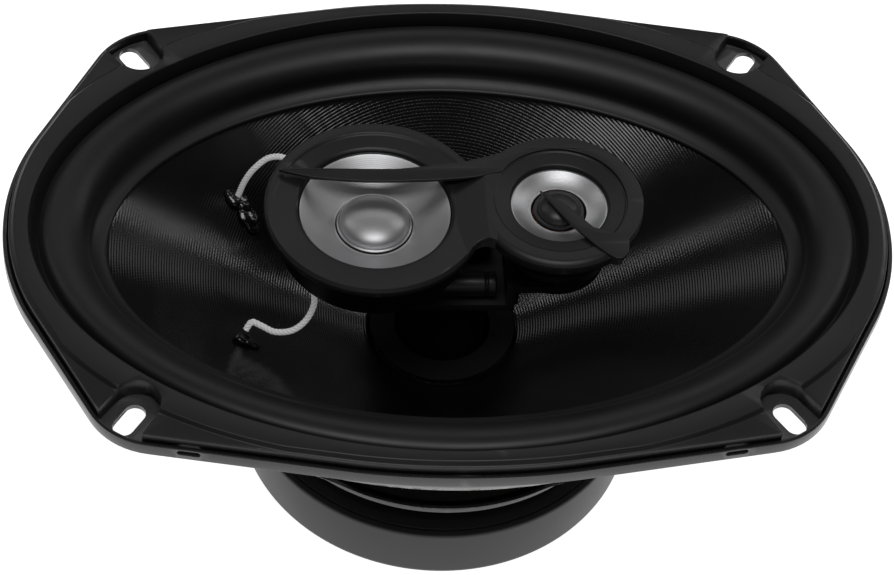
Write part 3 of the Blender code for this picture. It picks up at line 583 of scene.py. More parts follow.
def frame_profile():
    return [
        (ear_outline(0.0), 4.0, 0.5), (ear_outline(0.0), 0.0, 0.5),
        (oval(OPENING_A + SHEET, OPENING_B + SHEET), 0.0, 1.2),
        (oval(OPENING_A + 0.6, OPENING_B + 0.6), -12.0, 1.5),
        (circle(SHELF_R + SHEET), SHELF_Z + 0.4, 0.4),
        (circle(SHELF_R + SHEET), SHELF_Z - SHEET, 0.4),
        (circle(CUP_R + SHEET), SHELF_Z - SHEET, 0.6), (circle(CUP_R + SHEET), BASE_Z, 1.0),
        (circle(21.2), BASE_Z, 0.3), (circle(21.2), BASE_Z + SHEET, 0.3),
        (circle(CUP_R), BASE_Z + SHEET, 0.6), (circle(CUP_R), SHELF_Z, 0.6),
        (circle(SHELF_R), SHELF_Z, 0.3), (oval(OPENING_A - 0.6, OPENING_B - 0.6), -12.0, 1.5),
        (oval(OPENING_A, OPENING_B), SHEET, 0.8), (ear_outline(SHEET), SHEET, 0.3),
        (ear_outline(SHEET), 4.0, 0.4),
    ]


def window_outline(sill_half, top_half):
    """A window seen from the side: straight sill, round corners and leaning sides."""
    corner, top, sill = 5.0, -16.0, -48.0
    right = arc((sill_half - corner, sill + corner), corner, -90, -10, 10)
    right += arc((top_half - corner, top - corner), corner, -10, 90, 10)
    return right + [(-x, z) for x, z in reversed(right)]


def in_ear(shape, sx, sy):
    """Turn and move a shape drawn about a bay's centre, with +X pointing outward."""
    angle = (SLOT_ANGLE if sx > 0 else math.pi - SLOT_ANGLE) * sy
    c, s = math.cos(angle), math.sin(angle)
    return [(sx * BAY_X + x * c - y * s, sy * BAY_Y + x * s + y * c) for x, y in shape]


def rivet_places():
    reach = 38.0
    return [
        (reach * math.cos(math.radians(a)), reach * math.sin(math.radians(a)))
        for a in (45, 135, 225, 315)
    ]


def build_basket():
    sideways = Matrix.Rotation(math.pi / 2, 4, "Z") @ UPRIGHT
    body = loft_mesh("basket", frame_profile())
    seat = arc((0, 0), SEAT_R, 90, 270, 24)
    seat += [(7.3, -SEAT_R), (8.4, -3), (8.6, 0), (8.4, 3), (7.3, SEAT_R)]
    raised = [slab("seat", in_ear(seat, sx, sy), 0.6, 1.45) for sx, sy in CORNERS]
    raised.append(slab("lug", box_outline(-67, -50, -11, 11), SHELF_Z - SHEET, SHELF_Z - 0.05))
    body = combined(body, joined(raised), "UNION")
    holes = [
        slab("hole", window_outline(SIDE_SILL, SIDE_TOP), 40, 100, UPRIGHT),
        slab("hole", window_outline(SIDE_SILL, SIDE_TOP), -100, -40, UPRIGHT),
        slab("hole", window_outline(END_SILL, END_TOP), 44, 120, sideways),
        slab("hole", window_outline(END_SILL, END_TOP), -120, -44, sideways),
    ]
    for sx, sy in CORNERS:
        slot = stadium(10.6, 5.6, (sx * SLOT_X, sy * SLOT_Y), SLOT_ANGLE * sx * sy)
        holes.append(slab("hole", slot, -2, 3))
        drain = stadium(6.0, 1.8, (sx * 69.5, 2.6), 0.0, 8)
        low, high = (65, 90) if sy < 0 else (-90, -65)
        holes.append(slab("hole", drain, low, high, UPRIGHT))
    body = combined(body, joined(holes), "DIFFERENCE")
    small = [slab("hole", box_outline(-90, -53.2, -14.5, 14.5), SHELF_Z - 0.02, -40)]
    small += [slab("hole", disc(at, 2.1, 24), -62, -58) for at in rivet_places()]
    for side in (1, -1):
        small.append(slab("hole", disc((TAB_X, side * TAB_Y), 1.7, 24), -53, -50.5))
    body = combined(body, joined(small), "DIFFERENCE")
    body = softened(body, 0.25)
    show("frame_shell", body, PAINT, node_name="basket")


def build_gasket():
    edge = ear_outline(1.7)
    band = np.minimum(oval(117.3, 80.6, 2.15), edge - 0.3)
    step = oval(FOOT_A + 4.0, FOOT_B + 4.0)
    profile = [
        (oval(111.7, 75.9), 7.2, 0.5), (band - 1.1, 7.2, 0.3), (band - 0.1, 6.2, 0.3),
        (edge, 6.1, 0.5), (edge, 1.5, 0.2), (step, 1.5, 0.0), (step, 2.6, 0.0),
        (oval(109.7, 75.3), 2.6, 0.3),
    ]
    body = loft_mesh("gasket", profile)
    half_turn = arc((0, 0), BAY_R, 90, 270, 28)
    shape = half_turn + [(40, -BAY_R - 2), (40, BAY_R + 2)]
    bays = [slab("bay", in_ear(shape, sx, sy), 0.5, 9) for sx, sy in CORNERS]
    body = combined(body, joined(bays), "DIFFERENCE")
    body = softened(body, 0.2)
    show("gasket_ring", body, GASKET, node_name="gasket")


def roll_arc(thin, count):
    """Half-roll section as (offset from the foot oval, z), from the inner foot outward."""
    half = ROLL_WIDTH / 2
    points = []
    for i in range(count + 1):
        turn = math.pi * i / count
        base = INNER_FOOT_Z + (FOOT_Z - INNER_FOOT_Z) * i / count
        rise = (ROLL_HEIGHT + thin * 0.2) * math.sin(turn) ** 0.85
        points.append((-half - (half - thin) * math.cos(turn), base + RUBBER - thin + rise))
    return points


def build_surround():
    land = -ROLL_WIDTH - 4.4
    top = [(land - 0.2, -4.95), (land, -4.35), (land + 0.6, -4.2), (-ROLL_WIDTH - 0.9, -3.1)]
    top += roll_arc(0.0, 30)[1:-1]
    top += [(0.5, 2.28), (3.0, 2.3), (3.6, 2.2)]
    under = [(land, -5.1)] + roll_arc(RUBBER, 24) + [(3.6, FOOT_Z)]
    rings = [(oval(FOOT_A + d, FOOT_B + d), np.full(OVAL_STEPS, z)) for d, z in top + under[::-1]]
    mesh = to_mesh("surround", *skin_points(rings, oval_turn()))
    made = show("surround_roll", mesh, RUBBER_LOOK, None, "surround", angle=60)
    reach = np.array([d for d, z in top + under[::-1]])
    share = np.clip(-(reach + 0.3) / (ROLL_WIDTH - 0.3), 0, 1)
    share = np.where(reach < -ROLL_WIDTH + 0.4, 1.0, share)
    cross_blend(made)


def cone_height(radius, edge):
    return NECK_Z + (EDGE_Z - NECK_Z) * (radius - NECK_R) / (edge - NECK_R)


def build_cone():
    """Oval cone, with turned grooves round its axis cut off by the oval edge."""
    edge = oval(EDGE_A, EDGE_B, 2.0)
    rim = oval(EDGE_A + 2.7, EDGE_B + 2.7, 2.0)
    count = int((EDGE_A - NECK_R) / GROOVE_PITCH * 3)
    rings = []
    for i in range(count):
        plain = NECK_R + GROOVE_PITCH * i / 3
        radius = np.minimum(plain, edge - 0.35 - 0.0015 * (count - i))
        depth = GROOVE_DEPTH * (0.5 - 0.5 * math.cos(2 * math.pi * i / 3))
        fade = np.clip((edge - 0.6 - plain) / 0.8, 0, 1)
        rings.append((radius, cone_height(radius, edge) - depth * fade))
    rings += [(edge, np.full(OVAL_STEPS, EDGE_Z)), (rim, np.full(OVAL_STEPS, EDGE_Z + 0.3))]
    rings += [(rim, np.full(OVAL_STEPS, EDGE_Z - 0.5))]
    for share in (1.0, 0.66, 0.33, 0.0):
        radius = circle(NECK_R) * (1 - share) + edge * share
        rings.append((radius, cone_height(radius, edge) - 1.0))
    mesh = to_mesh("cone", *skin_points(rings, oval_turn()))
    show("cone_shell", mesh, CONE_FILM, "cone_body", "cone", angle=50)


def build_spider():
    inner, outer, half, count = 19.6, 51.0, 0.22, 110
    share = np.linspace(0, 1, count)
    reach = inner + (outer - inner) * share
    fade = np.clip(np.minimum(share, 1 - share) / 0.09, 0, 1)
    wave = 0.9 * fade * np.sin(share * 2 * math.pi * 5.5)
    height = -46.8 * (1 - share) + (SHELF_Z + 0.52) * share + wave
    flat = np.zeros(ROUND_STEPS)
    rings = [(flat + r, flat + (z + half)) for r, z in zip(reach, height)]
    rings += [(flat + r, flat + (z - half)) for r, z in zip(reach[::-1], height[::-1])]
    mesh = to_mesh("spider", *skin_points(rings, round_turn(ROUND_STEPS)))
    made = show("spider_disc", mesh, CLOTH, None, "spider", angle=60)
    cross_blend(made)


def build_centre():
    collar = [
        (13.1, NECK_Z + 1.9), (19.9, NECK_Z + 1.9), (19.9, NECK_Z + 0.8), (14.3, NECK_Z + 0.8),
        (14.3, NECK_Z - 1.2), (13.1, NECK_Z - 1.2),
    ]
    show("collar_ring", turned_mesh("collar", collar, 0.0, 0.35), FELT, "cone_body", "dust_collar")
    former = [(18.9, -38.0), (19.2, -38.0), (19.2, -68.2), (18.9, -68.2)]
    show("former_tube", turned_mesh("former", former), FOIL, "cone_body", "voice_coil_former")
    post = [
        (3.2, -15.3, 0.3), (11.5, -15.3, 0.8), (11.5, -56.0, 1.2), (14.5, -58.5, 0.5),
        (14.5, -60.1, 0.3), (6.0, -60.1, 0.2), (6.0, -72.0, 0.3), (3.2, -72.0, 0.2),
    ]
    show("post_column", turned_mesh("post", post), PLASTIC, node_name="centre_post")


def build_boot():
    inner = BOOT_R - 1.8
    boot = [
        (48.7, BOOT_TOP + 0.9, 0.3), (50.4, BOOT_TOP + 1.0, 0.5), (53.1, BOOT_TOP + 0.2, 0.1),
        (53.3, BOOT_TOP - 0.2, 0.08), (53.6, BOOT_TOP + 0.1, 0.1),
        (BOOT_R - 0.3, BOOT_TOP - 0.5, 0.3), (BOOT_R, BOOT_TOP - 1.2, 0.3),
        (BOOT_R - 0.15, BOOT_BOTTOM + 1.6, 1.0), (BOOT_R - 1.6, BOOT_BOTTOM, 1.0),
        (30.0, BOOT_BOTTOM, 0.2), (29.6, BOOT_BOTTOM + 0.35, 0.2),
        (28.4, BOOT_BOTTOM + 0.35, 0.2), (28.0, BOOT_BOTTOM, 0.2), (9.0, BOOT_BOTTOM, 0.5),
        (9.0, BOOT_BOTTOM + 1.4, 0.4), (inner, BOOT_BOTTOM + 1.4, 0.3),
        (inner, BOOT_TOP - 1.2, 0.3), (48.7, BOOT_TOP - 1.2, 0.3),
    ]
    mesh = turned_mesh("boot", boot, steps=224)
    show("magnet_cover", mesh, BOOT_LOOK, node_name="magnet_boot")


def build_frame_rivets():
    seat = BASE_Z + SHEET + 0.3
    profile = [(0, seat + 1.1), (1.6, seat + 0.95), (2.8, seat + 0.2), (2.8, seat), (1.7, seat)]
    profile += [(1.7, -64.5), (0, -64.5)]
    for i, (x, y) in enumerate(rivet_places(), 1):
        mesh = turned_mesh("rivet", profile, x, 0.3, 40, y)
        show(f"base_rivet_{i}", mesh, STEEL, node_name=f"frame_rivet_{i}")


# ---- pod ----


def build_bracket():
    side = [(-14, -15), (17.5, -15), (17.5, -7.5), (TWEETER_X, -7.5), (TWEETER_X, -5.1)]
    side += [(15.1, -5.1), (15.1, -12.6), (-14, -12.6)]
    plate = slab("bracket", side, -13, 13, UPRIGHT)
    pads = [
        slab("pad", disc((MID_X, 0), 12.6, 64), -14.9, -12.7),
        slab("pad", disc((TWEETER_X, 0), 13.6, 64), -7.4, -5.2),
        slab("rib", box_outline(17.0, 18.6, -11.0, -9.4), -14.8, -7.2),
        slab("rib", box_outline(17.0, 18.6, 9.4, 11.0), -14.8, -7.2),
    ]
    for pad in pads:
        plate = combined(plate, pad, "UNION")
    holes = [
        slab("hole", disc((0, 0), 3.2, 40), -16, -11),
        slab("hole", disc((MID_X, 0), 1.9, 32), -16, -11),
        slab("hole", disc((TWEETER_X, 0), 1.9, 32), -9, -4),
    ]
    plate = combined(plate, joined(holes), "DIFFERENCE")
    show("bracket_plate", softened(plate, 0.35), PLASTIC, node_name="pod_bracket")


def around_ring(outline, turn):
    flat = np.zeros(len(turn))
    return section([(flat + radius, flat + z, setback) for radius, z, setback in outline])


def mid_ring_rings(turn):
    """Section of the larger ring; its raised rim is widest at the back and fades to the sides."""
    top = MID_RING_Z
    swell = np.clip(np.cos(turn - math.radians(100)), 0, 1) ** 0.6
    rim_in = 28.7 - 2.9 * swell
    drop = 0.12 + 0.5 * swell
    return around_ring([
        (20.4, top - 1.5, 0.35), (21.2, top - 0.95, 0.35), (rim_in - 0.7, top - drop, 0.3),
        (rim_in, top - 0.02, 0.25), (28.6, top, 0.5), (MID_RING_R, top - 0.7, 0.5),
        (MID_RING_R, top - 2.6, 0.3), (28.0, top - 2.6, 0.2), (28.0, top - 1.9, 0.0),
        (20.4, top - 1.9, 0.1),
    ], turn)


def tweeter_ring_rings(turn):
    top = TWEETER_RING_Z
    return around_ring([
        (12.8, top - 2.0, 0.3), (13.3, top - 1.0, 0.4), (17.2, top - 0.45, 0.3),
        (17.5, top - 0.2, 0.15), (20.9, top, 0.6), (TWEETER_RING_R, top - 0.9, 0.6),
        (TWEETER_RING_R, top - 4.0, 0.3), (20.6, top - 4.0, 0.2), (20.6, top - 2.2, 0.0),
        (12.8, top - 2.2, 0.1),
    ], turn)


def ramp_height(x):
    """Height of the ramp that leads from the larger ring up to the smaller one."""
    return MID_RING_Z - RAMP_DROP + RAMP_SLOPE * (x - MID_X - RAMP_START)


def waist_half(x, fillet):
    """Half width of the pair of rings at x, with a round fillet between them."""
    span = TWEETER_X - MID_X
    near, far = MID_RING_R + fillet - 0.15, TWEETER_RING_R + fillet - 0.15
    along = (near**2 - far**2 + span**2) / (2 * span)
    across = math.sqrt(near**2 - along**2)
    off = x - MID_X - along
    if off < -along * fillet / near:
        return math.sqrt((MID_RING_R - 0.3) ** 2 - (x - MID_X) ** 2)
    if off > (span - along) * fillet / far:
        return math.sqrt((TWEETER_RING_R - 0.3) ** 2 - (x - TWEETER_X) ** 2)
    return across - math.sqrt(fillet**2 - off**2)


def web_mesh():
    """The ramp between the rings, with rounded long edges, sunk under the smaller ring's face."""
    foot, edge = MID_RING_Z - 1.85, 0.5
    columns = np.linspace(MID_X + 21.3, MID_X + 31.4, 40)
    corner = np.linspace(0, math.pi / 2, 5)
    face_r = [0.0, 12.8, 13.3, 17.2, 17.5, 20.9, 22.3]
    face_z = [-2.0, -2.0, -1.0, -0.45, -0.2, 0.0, 0.0]
    points = []
    for x in columns:
        half = waist_half(x, WAIST_FILLET)
        side = half - edge + edge * np.cos(corner)
        flat = np.linspace(half - edge, edge - half, 33)[1:-1]
        y = np.concatenate([side, flat, -side[::-1]])
        fall = edge * (1 - np.sin(corner))
        drop = np.concatenate([fall, flat * 0, fall[::-1]])
        face = np.interp(np.hypot(x - TWEETER_X, y), face_r, face_z) + TWEETER_RING_Z - 0.05
        z = np.minimum(ramp_height(x) - drop, face)
        points.append([(x, half, foot), *zip(np.full(len(y), x), y, z), (x, -half, foot)])
    faces = tube_faces(0, len(points[0]), len(columns))
    return to_mesh("web", np.concatenate(points), faces)


def build_bezel():
    """Two rings that run into each other, with a ramp that fills the waist between them."""
    turn = round_turn(192)
    mid = to_mesh("mid", *skin_points(mid_ring_rings(turn), turn, (MID_X, 0.0)))
    rings = []
    for radius, z in tweeter_ring_rings(turn):
        limit = ramp_height(TWEETER_X + radius * np.cos(turn)) - 0.07
        rings.append((radius, np.where(z > TWEETER_RING_Z - 3.2, np.minimum(z, limit), z)))
    tweeter = to_mesh("tweeter", *skin_points(rings, turn, (TWEETER_X, 0.0)))
    body = joined([mid, tweeter, web_mesh()])
    show("bezel_ring", body, POD_PLASTIC, "frame_body", "pod_bezel", 36)


def smooth_plan(knots, per_span):
    return smooth_path([(x, y, 0) for x, y in knots], per_span)[:, :2].tolist()


def trim_outline():
    """Plan of the swept trim: a blade over the mid driver, a crescent round the tweeter, a hook."""
    centre = (TWEETER_X, 0.0)
    blade = [(-45.8, 11.0), (-41.0, 11.5), (-35.0, 11.4), (-24.9, 11.2), (-15.9, 11.0)]
    blade += [(-8.2, 11.8), (2.8, 13.4), (7.6, 14.7), (12.4, 16.2)]
    upper = smooth_plan(blade, 8)
    crescent = arc(centre, 22.1, 131, -39, 64)
    hook = [(45.1, -17.5), (43.8, -19.7), (42.0, -20.2), (39.7, -18.8), (36.6, -15.8)]
    hook += [(33.7, -12.4), (30.5, -8.3), (27.4, -3.8), (25.2, -0.2), (23.1, 3.1)]
    hook = smooth_plan([crescent[-1], *hook], 6)[1:]
    back = smooth_plan([hook[-1], (26.0, 1.2), (29.5, -1.6), (32.4, -4.9), (36.4, -9.6)], 6)[1:]
    inner = arc(centre, 17.8, -40, 146, 60)
    lower = [inner[-1], (10.0, 9.2), (7.3, 8.3), (2.0, 7.6), (-3.4, 7.2), (-8.4, 7.0)]
    lower += [(-16.1, 6.8), (-25.1, 7.0), (-35.1, 8.1), (-41.0, 9.4), (-45.8, 11.0)]
    return upper + crescent[1:] + hook + back + inner + smooth_plan(lower, 8)[1:-1]


TRIM_BLADE_RIB = [(-37.5, 10.2), (-20.0, 9.9), (-6.0, 10.6), (4.0, 12.4), (4.0, 9.4), (-6.0, 8.2)]
TRIM_BLADE_RIB += [(-20.0, 8.0), (-37.5, 9.3)]
TRIM_HOOK_RIB = [(43.9, -16.4), (43.6, -18.6), (42.1, -19.3), (40.3, -18.2), (39.0, -16.4)]
TRIM_HOOK_RIB += [(40.5, -15.2)]


def build_trim():
    """The trim leans with the rings' heights, and stands on ribs under its skin."""
    left, right = MID_RING_Z + TRIM_RISE_LEFT, TWEETER_RING_Z + TRIM_RISE_RIGHT
    lean = Matrix.Rotation(-math.atan2(right - left, TRIM_SPAN), 4, "Y")
    pivot = Matrix.Translation((TRIM_X * MM, 0.0, left * MM)) @ lean
    shapes = [trim_outline(), TRIM_BLADE_RIB, TRIM_HOOK_RIB]
    sizes = [(-TRIM_SKIN, 0.0, 0.2, 3), (-2.3, -0.6, 0.15, 2), (-4.6, -0.6, 0.3, 2)]
    parts = []
    for shape, (low, high, edge, bends) in zip(shapes, sizes):
        moved = [(x - TRIM_X, y) for x, y in shape]
        parts.append(slab("trim", moved, low, high, pivot, edge, bends, shape is shapes[0]))
    body = joined(parts)
    show("trim_swoosh", body, POD_PLASTIC, "frame_body", "swoosh_trim", 40)


def dome(radius, base, crest, skin, brim):
    """Section of a thin dome, with its brim's points between the outer and the inner face."""
    outside, inside = [], []
    for i in range(DOME_BENDS + 1):
        turn = math.radians(90 * i / DOME_BENDS)
        rise = math.cos(turn)
        outside.append((radius * math.sin(turn), base + (crest - base) * rise))
        inside.append(((radius - skin) * math.sin(turn), base + (crest - skin - base) * rise))
    return outside + brim + inside[::-1]


def build_mid():
    housing = [
        (22.9, 9.9, 0.1), (27.5, 9.9, 0.2), (27.5, 8.7, 0.2), (25.0, 8.7, 0.3), (25.0, -1.6, 0.9),
        (23.0, -3.6, 0.9), (14.4, -3.6, 0.2), (14.4, -2.4, 0.1), (22.6, -2.4, 0.3),
        (23.7, -1.2, 0.3), (23.7, 8.7, 0.1), (22.9, 8.7, 0.1),
    ]
    show("mid_cup", turned_mesh("mid_cup", housing, MID_X), PLASTIC, node_name="mid_housing")
    pot = [(1.9, -10.8), (11, -10.8), (11, -1.5), (14, -1.5), (14, -12.3), (1.9, -12.3)]
    show("mid_pot_cup", turned_mesh("mid_pot", pot, MID_X, 0.4), DARK_STEEL, node_name="mid_pot")
    top = [(10.3, 5.2), (10.8, 5.1), (12.5, 5.95), (15.0, 7.5), (17.5, 9.2), (19.3, 10.45)]
    top += [(MID_R, 10.85)]
    cone = top + [(MID_R, 10.4), (15.0, 7.0), (10.3, 4.7)]
    mesh = turned_mesh("mid_cone", cone, MID_X, 0.12, 192)
    show("mid_cone_film", mesh, SILVER, "mid_body", "mid_cone")
    cap = dome(9.3, 5.75, 9.6, 0.5, [(9.62, 5.95), (10.0, 5.75), (10.0, 5.4)])
    mesh = turned_mesh("mid_cap", cap, MID_X, 0.0, 128)
    show("mid_cap_dome", mesh, DOME_METAL, "mid_body", "mid_dust_cap")
    crest = [(20.3 + 2.3 * i / 10, 10.62 + 0.5 * math.sin(math.pi * i / 10)) for i in range(11)]
    edge = crest + [(25.8, 10.7)] + [(25.8, 10.25)] + [(r, z - 0.4) for r, z in reversed(crest)]
    mesh = turned_mesh("mid_roll", edge, MID_X)
    made = show("mid_roll", mesh, RUBBER_LOOK, None, "mid_surround", angle=50)
    cross_blend(made)


def build_tweeter():
    housing = [
        (14.0, 12.0, 0.1), (20.2, 12.0, 0.2), (20.2, 10.8, 0.2), (18.5, 10.8, 0.3),
        (18.5, 5.0, 0.9), (12.4, 5.0, 0.2), (12.4, 6.2, 0.1), (17.2, 6.2, 0.3), (17.2, 10.8, 0.1),
        (14.0, 10.8, 0.1),
    ]
    mesh = turned_mesh("tweeter_cup", housing, TWEETER_X)
    show("tweeter_cup", mesh, PLASTIC, node_name="tweeter_housing")
    flare = [
        (7.4, 11.15, 0.1), (8.0, 11.05, 0.1), (9.5, 11.45, 0.1), (11.2, 12.25, 0.1),
        (12.5, 12.95, 0.2), (17.0, 12.9, 0.1), (17.0, 12.3, 0.1), (12.6, 12.3, 0.1),
        (7.4, 10.3, 0.1),
    ]
    mesh = turned_mesh("flare", flare, TWEETER_X, steps=128)
    show("tweeter_flare_ring", mesh, FLARE_LOOK, "frame_body", "tweeter_flare")
    pot = [(1.9, -3.4), (8, -3.4), (8, 9.6), (12, 9.6), (12, -4.8), (1.9, -4.8)]
    mesh = turned_mesh("tweeter_pot", pot, TWEETER_X, 0.4)
    show("tweeter_pot_cup", mesh, DARK_STEEL, node_name="tweeter_pot")
    # The dome sits lower than in the CAD, so it clears the trim's hook at full stroke.
    crest = top_of("tweeter_dome") - DOME_DROP
    cap = dome(5.7, 11.4, crest, 0.4, [(6.1, 11.55), (6.6, 11.5), (6.8, 11.2), (6.8, 10.9)])
    mesh = turned_mesh("tweeter_dome", cap, TWEETER_X, 0.0, 96)
    show("tweeter_cap_dome", mesh, SILK, "tweeter_body", "tweeter_dome")


def build_capacitors():
    """Two capacitors on the bracket, each with a crimp groove and a lip at its ends."""
    for name, y in [("tweeter_capacitor", -8.8), ("mid_capacitor", 8.8)]:
        low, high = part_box(name)
        x_low, x_high = low.x / MM, high.x / MM
        r = half_size(name, 2)
        profile = [
            (0, x_high, 0.0), (r - 0.9, x_high, 0.2), (r - 0.7, x_high - 0.15, 0.1),
            (r, x_high - 0.2, 0.35), (r, x_high - 2.2, 0.3), (r - 0.5, x_high - 2.7, 0.3),
            (r, x_high - 3.2, 0.3), (r, x_low + 0.2, 0.35), (r - 0.7, x_low, 0.1),
            (0, x_low, 0.0),
        ]
        rings = section(profile)
        points, faces = skin_points(rings, round_turn(SMALL_STEPS), closed=False)
        centre = (low.z + high.z) / 2 / MM - LIFT
        moved = np.column_stack([points[:, 2], points[:, 1] + y, points[:, 0] + centre])
        mesh = to_mesh(name, moved, faces)
        show(name + "_can", mesh, SLEEVE, node_name=name)


# ---- terminals and leads ----


def build_terminals():
    holes = [
        slab("hole", disc((TAB_X, side * TAB_Y), 1.7, 24), -53, -45) for side in (1, -1)
    ]
    outline = []
    for cx, cy, start in [(-55.6, 12, 0), (-69, 12, 90), (-69, -12, 180), (-55.6, -12, 270)]:
        outline += arc((cx, cy), 1.0, start, start + 90, 6)
    board = slab("board", outline, -49.7, -48.1, None, 0.12)
    board = combined(board, joined(holes), "DIFFERENCE")
    show("terminal_strip", board, BOARD, node_name="terminal_board")
    for name, side, width in [("positive_tab", 1, 6.3), ("negative_tab", -1, 4.8)]:
        middle, half = side * TAB_Y, width / 2
        shape = [(-57, half), (-76.4, half), (-78, half - 1.1), (-78, 1.1 - half)]
        shape += [(-76.4, -half), (-57, -half)]
        shape = [(x, middle + y) for x, y in shape]
        tab = slab("tab", shape, -47.8, -47.0, None, 0.12, 2)
        cuts = [slab("hole", disc((TAB_X, middle), 1.7, 24), -49, -46)]
        cuts.append(slab("hole", disc((-74.2, middle), 0.8, 20), -49, -46))
        tab = combined(tab, joined(cuts), "DIFFERENCE")
        show(name + "_blade", tab, TIN, node_name=name)
        rivet = [(0, -45.9), (1.6, -46.0), (2.3, -46.5), (2.3, -46.7), (1.3, -46.7), (1.3, -51.5)]
        rivet += [(2.2, -51.5), (2.1, -52.1), (0, -52.3)]
        mesh = turned_mesh("rivet", rivet, TAB_X, 0.2, 40, middle)
        show(name + "_eyelet", mesh, STEEL, node_name=name + "_rivet")


def cord_frames(path):
    """The distance along a path, and two directions square to it that don't twist."""
    tangent = np.gradient(path, axis=0)
    tangent /= np.linalg.norm(tangent, axis=1)[:, None]
    along = np.concatenate([[0], np.cumsum(np.linalg.norm(np.diff(path, axis=0), axis=1))])
    side = np.cross(tangent[0], (0.0, 0.0, 1.0))
    sides = []
    for t in tangent:
        side = side - t * (side @ t)
        side = side / np.linalg.norm(side)
        sides.append(side)
    sides = np.array(sides)
    return along, sides, np.cross(tangent, sides)


def cord(name, knots, node_name):
    """A twisted cord of several strands, along a smooth curve from the frame to the cone."""
    path = smooth_path(knots, 22)
    along, sides, ups = cord_frames(path)
    around = round_turn(STRAND_STEPS)
    points, faces = [], []
    for m in range(STRANDS):
        angle = 2 * math.pi * (m / STRANDS + along / STRAND_LAY)
        across = np.cos(angle)[:, None] * sides + np.sin(angle)[:, None] * ups
        middle = path + STRAND_OFFSET * across
        ring = (
            middle[:, None, :]
            + STRAND_R * np.cos(around)[None, :, None] * sides[:, None, :]
            + STRAND_R * np.sin(around)[None, :, None] * ups[:, None, :]
        )
        faces += tube_faces(m * ring.size // 3, STRAND_STEPS, len(path))
        points.append(ring.reshape(-1, 3))
    mesh = to_mesh(name, np.concatenate(points), faces)
    made = show(name, mesh, BRAID, None, node_name, angle=60)
    cross_blend(made)


def build_leads():
    back = [(-38.9, 19.0, 0.5), (-43.0, 24.0, 3.8), (-47.6, 26.2, 2.2)]
    back += [(-51.7, 25.4, -1.2), (-54.3, 25.2, -6.2), (-56.0, 25.6, -12.6)]
    front = [(-36.6, -13.4, -5.6), (-36.4, -16.0, -8.6), (-38.4, -18.6, -12.0)]
    front += [(-42.0, -20.4, -14.2), (-46.6, -20.4, -14.9), (-50.4, -18.8, -14.2)]
    front += [(-52.8, -18.0, -13.8), (-54.4, -19.2, -15.6)]
    cord("pod_cord_back", back, "pod_lead_back")
    cord("pod_cord_front", front, "pod_lead_front")
    for sign, side in [("positive", 1), ("negative", -1)]:
        knots = [(-57.6, 7.5, -45.9), (-62.0, 11.0, -40.0), (-63.5, 16.0, -31.0)]
        knots += [(-59.0, 20.5, -24.0), (-56.2, 22.3, -21.2)]
        knots = [(x, y * side, z) for x, y, z in knots]
        cord(f"input_cord_{sign}", knots, f"input_lead_{sign}")


def dab_mesh(name, blobs):
    """Lumps of sealant that run together, lying along the cone."""
    meshes = []
    for x, y, rise, size in blobs:
        reach = math.hypot(x, y)
        c, s = x / reach, y / reach
        edge = 1 / math.sqrt((c / EDGE_A) ** 2 + (s / EDGE_B) ** 2)
        slope = (EDGE_Z - NECK_Z) / (edge - NECK_R)
        floor = NECK_Z + slope * (reach - NECK_R)
        work = bmesh.new()
        bmesh.ops.create_uvsphere(work, u_segments=32, v_segments=16, radius=1.0)
        for v in work.verts:
            px, py, pz = v.co.x * size[0], v.co.y * size[1], v.co.z * size[2]
            tilt = slope * (px * c + py * s)
            v.co = Vector((x + px, y + py, floor + rise + pz + tilt + LIFT)) * MM
        mesh = bpy.data.meshes.new(name)
        work.to_mesh(mesh)
        work.free()
        meshes.append(mesh)
    merge = {"mode": "VOXEL", "voxel_size": 0.2 * MM, "use_smooth_shade": True}
    relax = {"factor": 0.5, "iterations": 3}
    mesh = baked(joined(meshes), [("REMESH", merge), ("SMOOTH", relax)])
    for v in mesh.vertices:
        lump = noise.noise(v.co * 450) * 0.3 + noise.noise(v.co * 1400) * 0.03
        v.co += v.normal * lump * MM
    return mesh


def build_dabs():
    back = [(-56.0, 26.0, 0.9, (3.0, 2.6, 1.1)), (-54.2, 24.4, 1.0, (1.9, 1.6, 1.2))]
    back += [(-57.9, 27.0, 0.7, (1.6, 1.5, 0.8)), (-53.2, 22.4, 0.8, (2.7, 3.0, 1.0))]
    back += [(-51.8, 20.2, 0.5, (2.0, 2.4, 0.7))]
    front = [(-54.5, -20.6, 0.9, (2.7, 2.3, 1.1)), (-53.2, -21.6, 0.8, (1.5, 1.3, 1.0))]
    front += [(-56.2, -20.2, 0.7, (1.4, 1.3, 0.8)), (-51.8, -22.2, 0.5, (1.4, 1.0, 0.5))]
    for name, blobs, own in [
        ("sealant_back", back, "lead_joint_back"),
        ("sealant_front", front, "lead_joint_front"),
    ]:
        show(name, dab_mesh(name, blobs), SEALANT, "cone_body", own, angle=80)


def dress_cad_nodes():
    """The hidden metal parts keep their own shapes and get their finishes; the mid coil's is
    painted shade.
    """
    looks = {
        "top_plate": DARK_STEEL, "magnet": FERRITE, "yoke": DARK_STEEL,
        "voice_coil_winding": COPPER, "post_bolt": STEEL, "mid_magnet": FERRITE,
        "mid_pole_cap": DARK_STEEL, "mid_screw": STEEL, "mid_voice_coil": COIL_GAP_SHADE,
        # The mid voice coil's near-black colour is painted shade for the gap round the mid dome.
        "tweeter_magnet": FERRITE, "tweeter_pole_cap": DARK_STEEL, "tweeter_screw": STEEL,
        "tweeter_voice_coil": COPPER,
    }
    for name, look in looks.items():
        mesh = frame["nodes"][name].data
        mesh.materials.clear()
        mesh.materials.append(look)


# ---- stage ----


